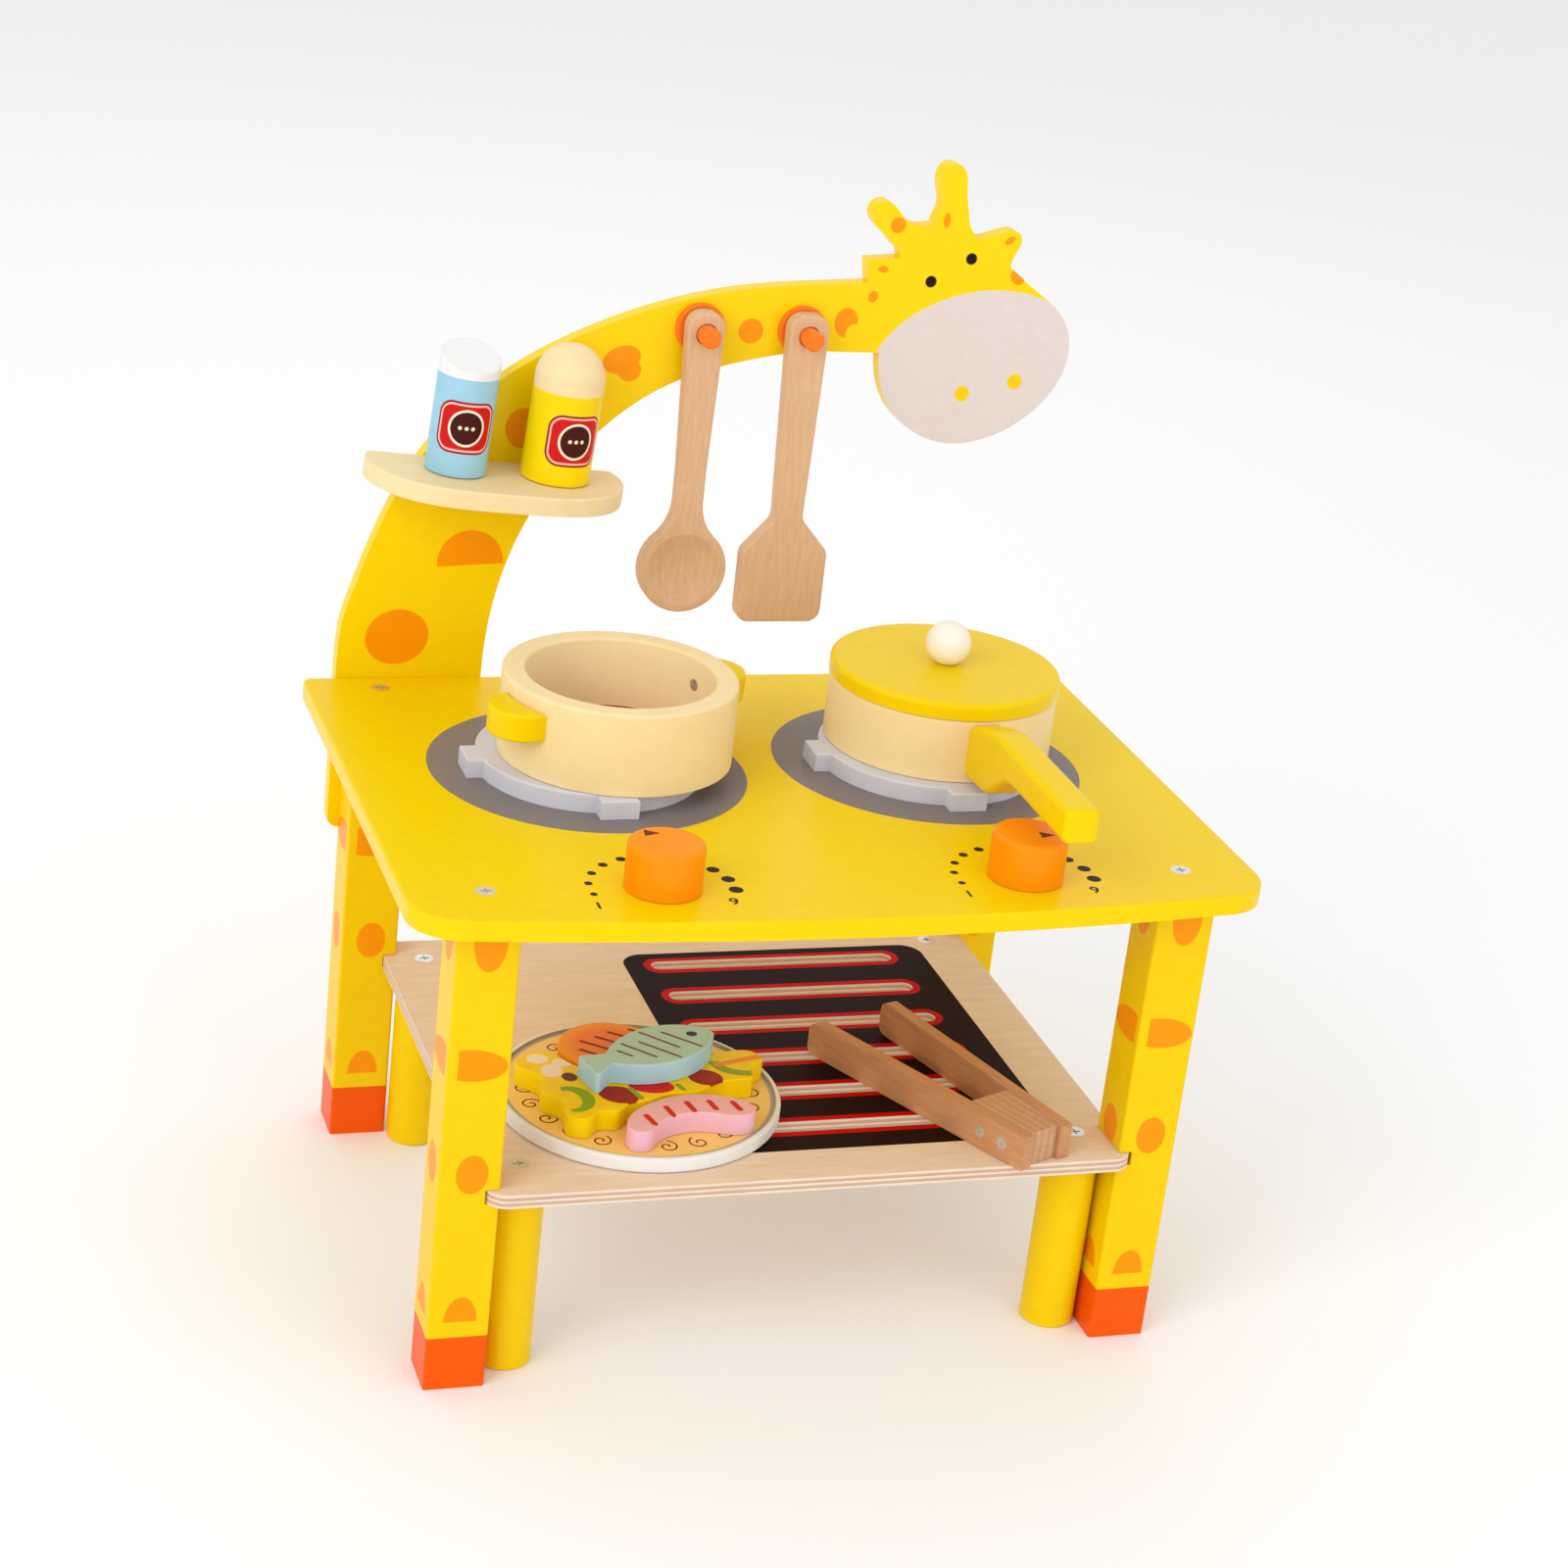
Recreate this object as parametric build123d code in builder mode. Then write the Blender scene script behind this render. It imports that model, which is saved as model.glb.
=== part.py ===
from build123d import *
from math import cos, hypot, radians, sin
import os

os.makedirs("parts", exist_ok=True)

# Toy grill and hob shaped like a giraffe, in millimetres.
# +X is to the right, +Y to the back, +Z up, and the origin is on the floor
# under the centre of the whole stand.

# Driving dimensions of the stand
top_width = 352
top_thickness = 8
top_overhang = 12
top_bow = 11.5
top_corner_radius = 22
top_rear_corner_radius = 4
top_edge_radius = 1.2
leg_width = 25
leg_depth = 24
leg_height = 205
leg_edge_radius = 1.2
leg_span_x = 313
leg_span_y = 233
shelf_top_z = 89.5
shelf_thickness = 6
shelf_overhang = 4.5
shelf_rear_inset = 10.5
shelf_corner_radius = 9
notch_depth = 6
notch_gap = 0.3
post_radius = 11.5
post_front_inset = 20
post_rear_inset = 28
post_gap = 0.3
post_foot_chamfer = 1

# Grill slots in the shelf
slot_count = 6
slot_length = 115
slot_width = 8.4
slot_pitch = 30.3
slot_centre_x = 38.5
slot_first_inset = 37

# Screws and fits
screw_head_radius = 4.2
screw_shank_radius = 1.9
small_head_radius = 2.6
small_shank_radius = 1.2
screw_clearance = 0.05
screw_hole_spare = 1
recess_depth = 0.8
recess_width = 0.9
leg_screw_length = 32
shelf_screw_length = 28
board_screw_length = 26
small_screw_length = 21
handle_screw_length = 18
glue_gap = 0.05
rest_gap = 0.3
running_clearance = 0.08
hang_clearance = 0.35

# Giraffe board
board_thickness = 8
board_leg_lap = 63
board_left_x = -161.5
board_base_right_x = -97
board_corner_radius = 5
board_screw_x = -144
board_screw_inset = 12
board_screw_pitch = 20
board_top_screw_xs = (-150, -110)

# Burners, knobs and trivets
burner_x = 75
burner_inset = 128
trivet_radius = 47
trivet_bore_radius = 31
trivet_thickness = 8
trivet_lug_width = 16
trivet_lug_reach = 53
trivet_edge_radius = 1
knob_radius = 15.3
knob_height = 19
knob_inset = 10.2
knob_edge_radius = 1.8
spindle_radius = 4
spindle_seat_depth = 10
retainer_radius = 9
retainer_thickness = 4

# Pot, saucepan and lid
pot_radius = 48.9
pot_wall = 9.6
pot_height = 35
pot_offset = (-64.7, 126.5)
pot_base_thickness = 5
pot_edge_radius = 1.5
pot_handle_radius = 14
pot_handle_thickness = 12
pot_handle_z = 23
pot_handle_angle = 22
pot_handle_root = 3
pan_height = 27.5
pan_offset = (81, 134.5)
pan_handle_width = 15
pan_handle_x = 83
pan_handle_reach = 19
pan_handle_root_bite = 6
pan_handle_step_inset = 66
pan_handle_bar_inset = 38
pan_handle_crown_inset = 56
pan_handle_bar_low = 26.5
pan_handle_bar_high = 41
pan_handle_root_low = 10.5
pan_handle_root_high = 33
pan_handle_edge_radius = 2.2
pan_handle_tip_radius = 5
pan_handle_side_radius = 3
pan_screw_heights = (9, 18)
pan_screw_length = 21
lid_radius = 49.4
lid_thickness = 7
lid_edge_radius = 2.2
spigot_thickness = 4
spigot_clearance = 1
ball_radius = 9.6
ball_flat_depth = 0.6
ball_screw_bite = 10

# Pegs and the tools that hang on them
peg_xs = (-12.5, 33.9)
peg_z = 373.3
peg_radius = 4.4
peg_length = 20
peg_base_radius = 11
peg_base_thickness = 3
peg_base_edge_radius = 0.8
peg_tip_radius = 1.5
tool_thickness = 7
tool_standoff = 1.5
tool_edge_radius = 1.2
tool_head_rise = 9.5
tool_head_radius = 7
spoon_top_width = 16.5
spoon_neck_width = 12.6
spoon_neck_drop = 60
spoon_shoulder_radius = 22
spoon_bowl_radius = 19.8
spoon_bowl_drop = 106.5
spoon_scoop_radius = 36
spoon_scoop_depth = 4
spatula_top_width = 18
spatula_neck_width = 13
spatula_neck_drop = 83
spatula_blade_width = 39.5
spatula_blade_drop = 98
spatula_length = 131
spatula_corner_radius = 6
spatula_shoulder_radius = 6

# Spice shelf and shakers
spice_centre_x = -100.2
spice_top_z = 312.1
spice_tilt = 4.3
spice_half_width = 56
spice_depth = 47
spice_thickness = 8
spice_edge_radius = 1
spice_screw_places = (-26, 10)
blue_place = (-19.5, -18)
blue_radius = 13
blue_body_height = 42.5
blue_cap_low = 3
blue_cap_high = 12
yellow_place = (24.5, -16.6)
yellow_radius = 15
yellow_body_height = 39.5
yellow_cap_collar = 4.5
shaker_edge_radius = 0.8
shaker_bore_radius = 6
cap_tenon_length = 5

# Plate and toy food
plate_offset = (-59.4, 64.1)
plate_radius = 59.5
plate_thickness = 6.5
plate_rim_width = 2.4
plate_recess = 1
plate_edge_radius = 1.1
food_thickness = 9
food_edge_radius = 0.8
food_corner_radius = 1.5
steak_offset = (-66, 86)
steak_radius = 22

# Tongs
tongs_height = 15
tongs_arm_thickness = 5.8
tongs_arm_length = 124
tongs_tip_radius = 4
tongs_left_heel = (88.5, -7.5)
tongs_left_angle = 117.3
tongs_right_heel = (102.6, -2)
tongs_right_angle = 107.7
tongs_block_length = 33
tongs_block_start = 2
tongs_screw_stations = (12, 24)
tongs_screw_length = 9
tongs_hole_clearance = 0.45

# Places worked out from the sizes
overall_depth = top_overhang + top_bow + leg_span_y + board_thickness
front_y = top_overhang + top_bow - overall_depth / 2
rear_y = front_y + leg_span_y
board_back_y = rear_y + board_thickness
top_z = leg_height + top_thickness
shelf_bottom_z = shelf_top_z - shelf_thickness
leg_x = (leg_span_x - leg_width) / 2
leg_inner_x = leg_span_x / 2 - leg_width
leg_front_centre_y = front_y + leg_depth / 2
leg_rear_centre_y = rear_y - leg_depth / 2
post_x = leg_inner_x - post_gap - post_radius
post_front_y = front_y + post_front_inset
post_rear_y = rear_y - post_rear_inset
shelf_half_width = leg_inner_x + notch_depth - notch_gap
board_bottom_z = leg_height - board_leg_lap
board_leg_screw_zs = (board_bottom_z + board_screw_inset, board_bottom_z + board_screw_inset + board_screw_pitch)
board_hole_depth = board_screw_length - board_thickness + screw_hole_spare
small_hole_depth = small_screw_length - board_thickness + screw_hole_spare
pan_floor_z = top_z + trivet_thickness + rest_gap
plate_floor_z = shelf_top_z + rest_gap
food_floor_z = plate_floor_z + plate_thickness - plate_recess + rest_gap
sides = {"left": -1, "right": 1}


def finish(part, label):
    """Name a finished piece and write its STEP file."""
    part.label = label
    export_step(part, "parts/" + label + ".step")


def seat(point, outward):
    """A plane on a surface, with its normal pointing out of the material."""
    return Plane(origin=point, z_dir=outward)


def countersunk_screws(seats, length, head_radius, shank_radius):
    """Countersunk screws with a cross recess, one for each seat."""
    head_height = head_radius - shank_radius
    with BuildPart() as screws:
        for place in seats:
            with Locations(place):
                Cone(shank_radius, head_radius, head_height, align=(Align.CENTER, Align.CENTER, Align.MAX))
                with Locations((0, 0, -head_height)):
                    Cylinder(
                        shank_radius,
                        length - head_height,
                        align=(Align.CENTER, Align.CENTER, Align.MAX),
                    )
                for turn in (0, 90):
                    Box(
                        head_radius,
                        recess_width,
                        2 * recess_depth,
                        rotation=(0, 0, turn),
                        mode=Mode.SUBTRACT,
                    )
    return screws.part


def countersink(depth, head_radius, shank_radius):
    """Cut the hole that one countersunk screw passes through."""
    CounterSinkHole(
        radius=shank_radius + screw_clearance,
        counter_sink_radius=head_radius + screw_clearance,
        depth=depth,
        counter_sink_angle=90,
    )


# Tabletop: a painted board with a gently bowed front edge
corner_y = front_y - top_overhang
screw_spots = [(x, y) for y in (leg_front_centre_y, leg_rear_centre_y) for x in (-leg_x, leg_x)]
knob_y = front_y + knob_inset
with BuildPart() as tabletop:
    with BuildSketch(Plane.XY.offset(leg_height)):
        with BuildLine():
            left_front = (-top_width / 2, corner_y)
            right_front = (top_width / 2, corner_y)
            ThreePointArc(left_front, (0, corner_y - top_bow), right_front)
            Polyline(right_front, (top_width / 2, rear_y), (-top_width / 2, rear_y), left_front)
        make_face()
        fillet(vertices().group_by(Axis.Y)[0], top_corner_radius)
        fillet(vertices().group_by(Axis.Y)[-1], top_rear_corner_radius)
    extrude(amount=top_thickness)
    fillet(faces().sort_by(Axis.Z)[-1].outer_wire().edges(), top_edge_radius)
    with Locations([(x, y, top_z) for x, y in screw_spots]):
        countersink(top_thickness, screw_head_radius, screw_shank_radius)
    with Locations([(x, knob_y, top_z) for x in (-burner_x, burner_x)]):
        Hole(spindle_radius + running_clearance)
    with Locations([seat((x, rear_y, leg_height + top_thickness / 2), (0, 1, 0)) for x in board_top_screw_xs]):
        Hole(small_shank_radius + screw_clearance, depth=small_hole_depth)
finish(tabletop.part, "tabletop")



# Legs: square posts, notched on their inner side for the shelf's corners
def make_leg(side, y, is_rear):
    """One leg, with its notch, the screw hole in its top and, at the rear left, two in its back."""
    x = side * leg_x
    with BuildPart() as leg:
        with BuildSketch(Plane((x, y, 0))):
            RectangleRounded(leg_width, leg_depth, leg_edge_radius)
        extrude(amount=leg_height)
        notch_z = shelf_bottom_z + (shelf_thickness + notch_gap) / 2
        with Locations((x - side * leg_width / 2, y, notch_z)):
            Box(2 * notch_depth, leg_depth, shelf_thickness + notch_gap, mode=Mode.SUBTRACT)
        with Locations((x, y, leg_height)):
            Hole(screw_shank_radius + screw_clearance, depth=leg_screw_length - top_thickness + screw_hole_spare)
        if is_rear and side < 0:
            with Locations([seat((board_screw_x, rear_y, z), (0, 1, 0)) for z in board_leg_screw_zs]):
                Hole(screw_shank_radius + screw_clearance, depth=board_hole_depth)
    return leg.part


for row, y in {"front": leg_front_centre_y, "rear": leg_rear_centre_y}.items():
    for hand, side in sides.items():
        finish(make_leg(side, y, row == "rear"), "leg_" + row + "_" + hand)

tabletop_seats = [seat((x, y, top_z), (0, 0, 1)) for x, y in screw_spots]
tabletop_screws = countersunk_screws(tabletop_seats, leg_screw_length, screw_head_radius, screw_shank_radius)
finish(tabletop_screws, "tabletop_screws")

# Posts: round dowels from the floor up to the shelf's underside
post_spots = {}
for row, y in {"front": post_front_y, "rear": post_rear_y}.items():
    for hand, side in sides.items():
        post_spots["post_" + row + "_" + hand] = (side * post_x, y)
for label, (x, y) in post_spots.items():
    with BuildPart() as post:
        with BuildSketch(Plane((x, y, 0))):
            Circle(post_radius)
        extrude(amount=shelf_bottom_z)
        chamfer(edges().group_by(Axis.Z)[0], post_foot_chamfer)
        with Locations((x, y, shelf_bottom_z)):
            Hole(screw_shank_radius + screw_clearance, depth=shelf_screw_length - shelf_thickness + screw_hole_spare)
    finish(post.part, label)

# Grill shelf: plywood with six long slots, its corners in the legs' notches
shelf_front_y = front_y - shelf_overhang
shelf_depth = leg_span_y - shelf_rear_inset + shelf_overhang
with BuildPart() as grill_shelf:
    with BuildSketch(Plane((0, shelf_front_y + shelf_depth / 2, shelf_bottom_z))):
        RectangleRounded(2 * shelf_half_width, shelf_depth, shelf_corner_radius)
    extrude(amount=shelf_thickness)
    slot_ys = [front_y + slot_first_inset + slot_pitch * k for k in range(slot_count)]
    with BuildSketch(Plane.XY.offset(shelf_top_z)):
        with Locations([(slot_centre_x, y) for y in slot_ys]):
            SlotOverall(slot_length, slot_width)
    extrude(amount=-shelf_thickness, mode=Mode.SUBTRACT)
    with Locations([(x, y, shelf_top_z) for x, y in post_spots.values()]):
        countersink(shelf_thickness, screw_head_radius, screw_shank_radius)
finish(grill_shelf.part, "grill_shelf")

shelf_seats = [seat((x, y, shelf_top_z), (0, 0, 1)) for x, y in post_spots.values()]
shelf_screws = countersunk_screws(shelf_seats, shelf_screw_length, screw_head_radius, screw_shank_radius)
finish(shelf_screws, "shelf_screws")

# Giraffe board: base, curved neck and head cut from one board
spice_plane = Plane(
    origin=(spice_centre_x, rear_y, spice_top_z),
    x_dir=(cos(radians(spice_tilt)), 0, -sin(radians(spice_tilt))),
    z_dir=(sin(radians(spice_tilt)), 0, cos(radians(spice_tilt))),
)
spice_screw_points = [
    spice_plane.from_local_coords((u, board_thickness, -spice_thickness / 2))
    for u in spice_screw_places
]
board_leg_points = [(board_screw_x, board_back_y, z) for z in board_leg_screw_zs]
board_top_points = [(x, board_back_y, leg_height + top_thickness / 2) for x in board_top_screw_xs]
with BuildPart() as giraffe_board:
    with BuildSketch(Plane.XZ.offset(-board_back_y)):
        with BuildLine():
            base_left = (board_left_x, board_bottom_z)
            base_right = (board_base_right_x, board_bottom_z)
            neck_left = (board_left_x, top_z)
            neck_right = (board_base_right_x, top_z)
            nape = (62, 395.2)
            ear_root = (60.4, 405.4)
            ear_under = (75.4, 406.6)
            crown = (85.2, 421.2)
            brow = (109.6, 416.2)
            cheek_top = (127.4, 404.4)
            throat = (71.1, 364)
            Line(base_left, base_right)
            Line(base_right, neck_right)
            Spline(
                neck_right,
                (-94.6, 244.7),
                (-80.5, 288.6),
                (-52.7, 326.5),
                (-17.5, 350.5),
                (29, 362.8),
                throat,
                tangents=[(0, 1), (1, 0)],
            )
            Spline(
                throat,
                (71.9, 355.5),
                (74.8, 345.9),
                (80.4, 337),
                (90.1, 329),
                (100, 324.6),
                (111.5, 323),
                (124.4, 325.2),
                (139.7, 332.4),
                (151.5, 342.9),
                (158.7, 354.6),
                (161, 367.4),
                (159.3, 376),
                (151, 387),
                (142.9, 392.8),
                (136, 397.7),
                cheek_top,
                tangents=[(0, -1), (-0.8, 0.6)],
            )
            Spline(
                cheek_top,
                (129.2, 410.3),
                (131.2, 415),
                (130.6, 418.4),
                (127.8, 420.3),
                (124, 420),
                (117.2, 417.8),
                brow,
                tangents=[(0.2, 1), (-1, -0.1)],
            )
            Spline(
                brow,
                (106.4, 421.5),
                (104.3, 429),
                (102.6, 437),
                (102, 443),
                (99.8, 447.2),
                (95.6, 448.9),
                (91.3, 447),
                (89.6, 442.4),
                (90.6, 436),
                (91.5, 429),
                (89.6, 423),
                crown,
                tangents=[(-0.4, 1), (-1, -0.1)],
            )
            Spline(
                crown,
                (79.6, 421.8),
                (74.8, 424.8),
                (71.2, 428.6),
                (66.4, 431.4),
                (62, 429.8),
                (60.2, 425.6),
                (62, 421.4),
                (65.8, 417.8),
                (69.5, 414.5),
                (73.4, 411),
                ear_under,
                tangents=[(-1, -0.1), (0.2, -1)],
            )
            Line(ear_under, ear_root)
            Line(ear_root, nape)
            Spline(
                nape,
                (4, 390.2),
                (-45.1, 376.8),
                (-96.5, 349.3),
                (-139.7, 297.1),
                (-157, 250),
                neck_left,
                tangents=[(-1, -0.08), (0, -1)],
            )
            Line(neck_left, base_left)
        make_face()
        fillet(vertices().group_by(Axis.Y)[0], board_corner_radius)
    extrude(amount=board_thickness)
    with Locations([seat(point, (0, 1, 0)) for point in board_leg_points]):
        countersink(board_thickness, screw_head_radius, screw_shank_radius)
    with Locations([seat(point, (0, 1, 0)) for point in board_top_points + spice_screw_points]):
        countersink(board_thickness, small_head_radius, small_shank_radius)
    with Locations([seat((x, board_back_y, peg_z), (0, 1, 0)) for x in peg_xs]):
        Hole(peg_radius + glue_gap)
finish(giraffe_board.part, "giraffe_board")

leg_seats = [seat(point, (0, 1, 0)) for point in board_leg_points]
board_leg_screws = countersunk_screws(leg_seats, board_screw_length, screw_head_radius, screw_shank_radius)
finish(board_leg_screws, "board_leg_screws")
top_seats = [seat(point, (0, 1, 0)) for point in board_top_points]
board_top_screws = countersunk_screws(top_seats, small_screw_length, small_head_radius, small_shank_radius)
finish(board_top_screws, "board_top_screws")

# Spice shelf: a rounded board on the neck, screwed from behind and set at a slight tilt
with BuildPart() as spice_shelf:
    with BuildSketch(spice_plane.offset(-spice_thickness)):
        with BuildLine():
            back_left = (-spice_half_width + 2, 0)
            back_right = (spice_half_width - 2, 0)
            Spline(
                back_left,
                (-spice_half_width, -0.3 * spice_depth),
                (-0.8 * spice_half_width, -0.78 * spice_depth),
                (0, -spice_depth),
                (0.8 * spice_half_width, -0.78 * spice_depth),
                (spice_half_width, -0.3 * spice_depth),
                back_right,
            )
            Line(back_right, back_left)
        make_face()
    extrude(amount=spice_thickness)
    fillet(faces().sort_by(spice_plane.location.z_axis)[-1].edges().sort_by(Axis.Y)[:-1], spice_edge_radius)
    spice_holes = [
        spice_plane.from_local_coords((u, 0, -spice_thickness / 2)) for u in spice_screw_places
    ]
    with Locations([seat(point, (0, 1, 0)) for point in spice_holes]):
        Hole(small_shank_radius + screw_clearance, depth=small_hole_depth)
finish(spice_shelf.part, "spice_shelf")

spice_seats = [seat(point, (0, 1, 0)) for point in spice_screw_points]
spice_shelf_screws = countersunk_screws(
    spice_seats, small_screw_length, small_head_radius, small_shank_radius
)
finish(spice_shelf_screws, "spice_shelf_screws")

# Pegs: turned dowels with a round collar, their tenons glued into the board
for hand, x in zip(sides, peg_xs):
    with BuildPart() as peg:
        with BuildSketch(Plane((x, board_back_y, peg_z), x_dir=(1, 0, 0), z_dir=(0, -1, 0))):
            Circle(peg_radius)
        extrude(amount=board_thickness + peg_length)
        fillet(edges().group_by(Axis.Y)[0], peg_tip_radius)
        with BuildSketch(Plane((x, rear_y, peg_z), x_dir=(1, 0, 0), z_dir=(0, -1, 0))):
            Circle(peg_base_radius)
        extrude(amount=peg_base_thickness)
        fillet(edges().filter_by(GeomType.CIRCLE).sort_by(SortBy.RADIUS)[-2:].sort_by(Axis.Y)[0], peg_base_edge_radius)
    finish(peg.part, "peg_" + hand)

# Trivets: painted rings with four square lugs, glued to the tabletop
trivet_y = front_y + burner_inset
for hand, side in sides.items():
    with BuildPart() as trivet:
        with BuildSketch(Plane((side * burner_x, trivet_y, top_z))):
            Circle(trivet_radius)
            Rectangle(2 * trivet_lug_reach, trivet_lug_width)
            Rectangle(trivet_lug_width, 2 * trivet_lug_reach)
            Circle(trivet_bore_radius, mode=Mode.SUBTRACT)
        extrude(amount=trivet_thickness)
        fillet(faces().sort_by(Axis.Z)[-1].edges(), trivet_edge_radius)
    finish(trivet.part, "trivet_" + hand)

# Knobs: each turns on a dowel through the tabletop, held by a disc below
for hand, side in sides.items():
    x = side * burner_x
    with BuildPart() as knob:
        with BuildSketch(Plane((x, knob_y, top_z + rest_gap))):
            Circle(knob_radius)
        extrude(amount=knob_height)
        fillet(edges().group_by(Axis.Z)[-1], knob_edge_radius)
        with BuildSketch(Plane((x, knob_y, top_z + rest_gap))):
            Circle(spindle_radius + glue_gap)
        extrude(amount=spindle_seat_depth, mode=Mode.SUBTRACT)
    finish(knob.part, "knob_" + hand)
    spindle_low_z = leg_height - rest_gap - retainer_thickness
    with BuildPart() as spindle:
        with BuildSketch(Plane((x, knob_y, spindle_low_z))):
            Circle(spindle_radius)
        extrude(amount=top_z + rest_gap + spindle_seat_depth - glue_gap - spindle_low_z)
    finish(spindle.part, "knob_spindle_" + hand)
    with BuildPart() as retainer:
        with BuildSketch(Plane((x, knob_y, spindle_low_z))):
            Circle(retainer_radius)
            Circle(spindle_radius + glue_gap, mode=Mode.SUBTRACT)
        extrude(amount=retainer_thickness)
    finish(retainer.part, "knob_retainer_" + hand)


def make_ring(x, y, height):
    """A turned wooden ring, the wall of the pot or of the saucepan."""
    with BuildPart() as ring:
        with BuildSketch(Plane((x, y, pan_floor_z))):
            Circle(pot_radius)
            Circle(pot_radius - pot_wall, mode=Mode.SUBTRACT)
        extrude(amount=height)
        fillet(edges().group_by(Axis.Z)[-1], pot_edge_radius)
    return ring


def make_base(x, y):
    """The round bottom board inside the ring."""
    with BuildPart() as base:
        with BuildSketch(Plane((x, y, pan_floor_z))):
            Circle(pot_radius - pot_wall - glue_gap)
        extrude(amount=pot_base_thickness)
    return base.part


# Pot: ring, base, two half-round handles and a screw for each
pot_x = pot_offset[0]
pot_y = front_y + pot_offset[1]
pot_bore = pot_radius - pot_wall
handle_screw_z = pan_floor_z + pot_handle_z
pot_directions = {
    "left": (-cos(radians(pot_handle_angle)), -sin(radians(pot_handle_angle))),
    "right": (cos(radians(pot_handle_angle)), sin(radians(pot_handle_angle))),
}
pot_seats = []
for dx, dy in pot_directions.values():
    pot_seats.append(seat((pot_x + pot_bore * dx, pot_y + pot_bore * dy, handle_screw_z), (-dx, -dy, 0)))
pot_ring = make_ring(pot_x, pot_y, pot_height)
with pot_ring:
    with Locations(pot_seats):
        countersink(pot_wall + screw_hole_spare, small_head_radius, small_shank_radius)
finish(pot_ring.part, "pot_body")
finish(make_base(pot_x, pot_y), "pot_base")
for (hand, (dx, dy)), screw_seat in zip(pot_directions.items(), pot_seats):
    root = Plane(
        (pot_x + pot_radius * dx, pot_y + pot_radius * dy, handle_screw_z - pot_handle_thickness / 2),
        x_dir=(dy, -dx, 0),
        z_dir=(0, 0, 1),
    )
    with BuildPart() as pot_handle:
        with BuildSketch(root):
            with BuildLine():
                Polyline(
                    (pot_handle_radius, 0),
                    (pot_handle_radius, -pot_handle_root),
                    (-pot_handle_radius, -pot_handle_root),
                    (-pot_handle_radius, 0),
                )
                ThreePointArc((-pot_handle_radius, 0), (0, pot_handle_radius), (pot_handle_radius, 0))
            make_face()
        extrude(amount=pot_handle_thickness)
        with BuildSketch(Plane((pot_x, pot_y, pan_floor_z))):
            Circle(pot_radius + glue_gap)
        extrude(amount=pot_height, mode=Mode.SUBTRACT)
        fillet(edges().filter_by(lambda e: e.length > 2 * pot_handle_radius), pot_edge_radius)
        with Locations(screw_seat):
            Hole(small_shank_radius + screw_clearance, depth=handle_screw_length + screw_hole_spare)
    finish(pot_handle.part, "pot_handle_" + hand)
pot_screws = countersunk_screws(pot_seats, handle_screw_length, small_head_radius, small_shank_radius)
finish(pot_screws, "pot_screws")

# Saucepan: ring, base and a long handle cut from a board, with two screws
pan_x = pan_offset[0]
pan_y = front_y + pan_offset[1]
pan_wall_y = pan_y - pot_bore
pan_seats = [seat((pan_handle_x, pan_wall_y, pan_floor_z + z), (0, 1, 0)) for z in pan_screw_heights]
pan_ring = make_ring(pan_x, pan_y, pan_height)
with pan_ring:
    with Locations(pan_seats):
        countersink(pot_wall + screw_hole_spare, small_head_radius, small_shank_radius)
finish(pan_ring.part, "pan_body")
finish(make_base(pan_x, pan_y), "pan_base")
with BuildPart() as pan_handle:
    with BuildSketch(Plane.YZ.offset(pan_handle_x - pan_handle_width / 2)):
        with BuildLine():
            root_y = pan_y - pot_radius + pan_handle_root_bite
            tip_y = front_y - pan_handle_reach
            low_root = (root_y, top_z + pan_handle_root_low)
            low_step = (front_y + pan_handle_step_inset, top_z + pan_handle_root_low + 1.5)
            low_bar = (front_y + pan_handle_bar_inset, top_z + pan_handle_bar_low)
            low_tip = (tip_y, top_z + pan_handle_bar_low)
            high_tip = (tip_y, top_z + pan_handle_bar_high)
            high_bar = (front_y + pan_handle_crown_inset, top_z + pan_handle_bar_high)
            high_root = (root_y, top_z + pan_handle_root_high)
            Line(low_root, low_step)
            Spline(low_step, low_bar, tangents=[(-1, 0.25), (-1, 0.1)])
            Line(low_bar, low_tip)
            Line(low_tip, high_tip)
            Line(high_tip, high_bar)
            Spline(high_bar, high_root, tangents=[(1, -0.05), (1, -0.15)])
            Line(high_root, low_root)
        make_face()
        tip_corners = vertices().group_by(Axis.Y)[0]
        fillet([corner for corner in vertices() if corner not in tip_corners], pan_handle_edge_radius)
        fillet(vertices().group_by(Axis.Y)[0], pan_handle_tip_radius)
    extrude(amount=pan_handle_width)
    fillet(faces().sort_by(Axis.X)[0].edges(), pan_handle_side_radius)
    fillet(faces().sort_by(Axis.X)[-1].edges(), pan_handle_side_radius)
    with BuildSketch(Plane((pan_x, pan_y, top_z))):
        Circle(pot_radius + glue_gap)
    extrude(amount=pan_handle_bar_high + 1, mode=Mode.SUBTRACT)
    with Locations(pan_seats):
        Hole(small_shank_radius + screw_clearance, depth=pan_screw_length + screw_hole_spare)
finish(pan_handle.part, "pan_handle")
pan_screws = countersunk_screws(pan_seats, pan_screw_length, small_head_radius, small_shank_radius)
finish(pan_screws, "pan_screws")

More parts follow.
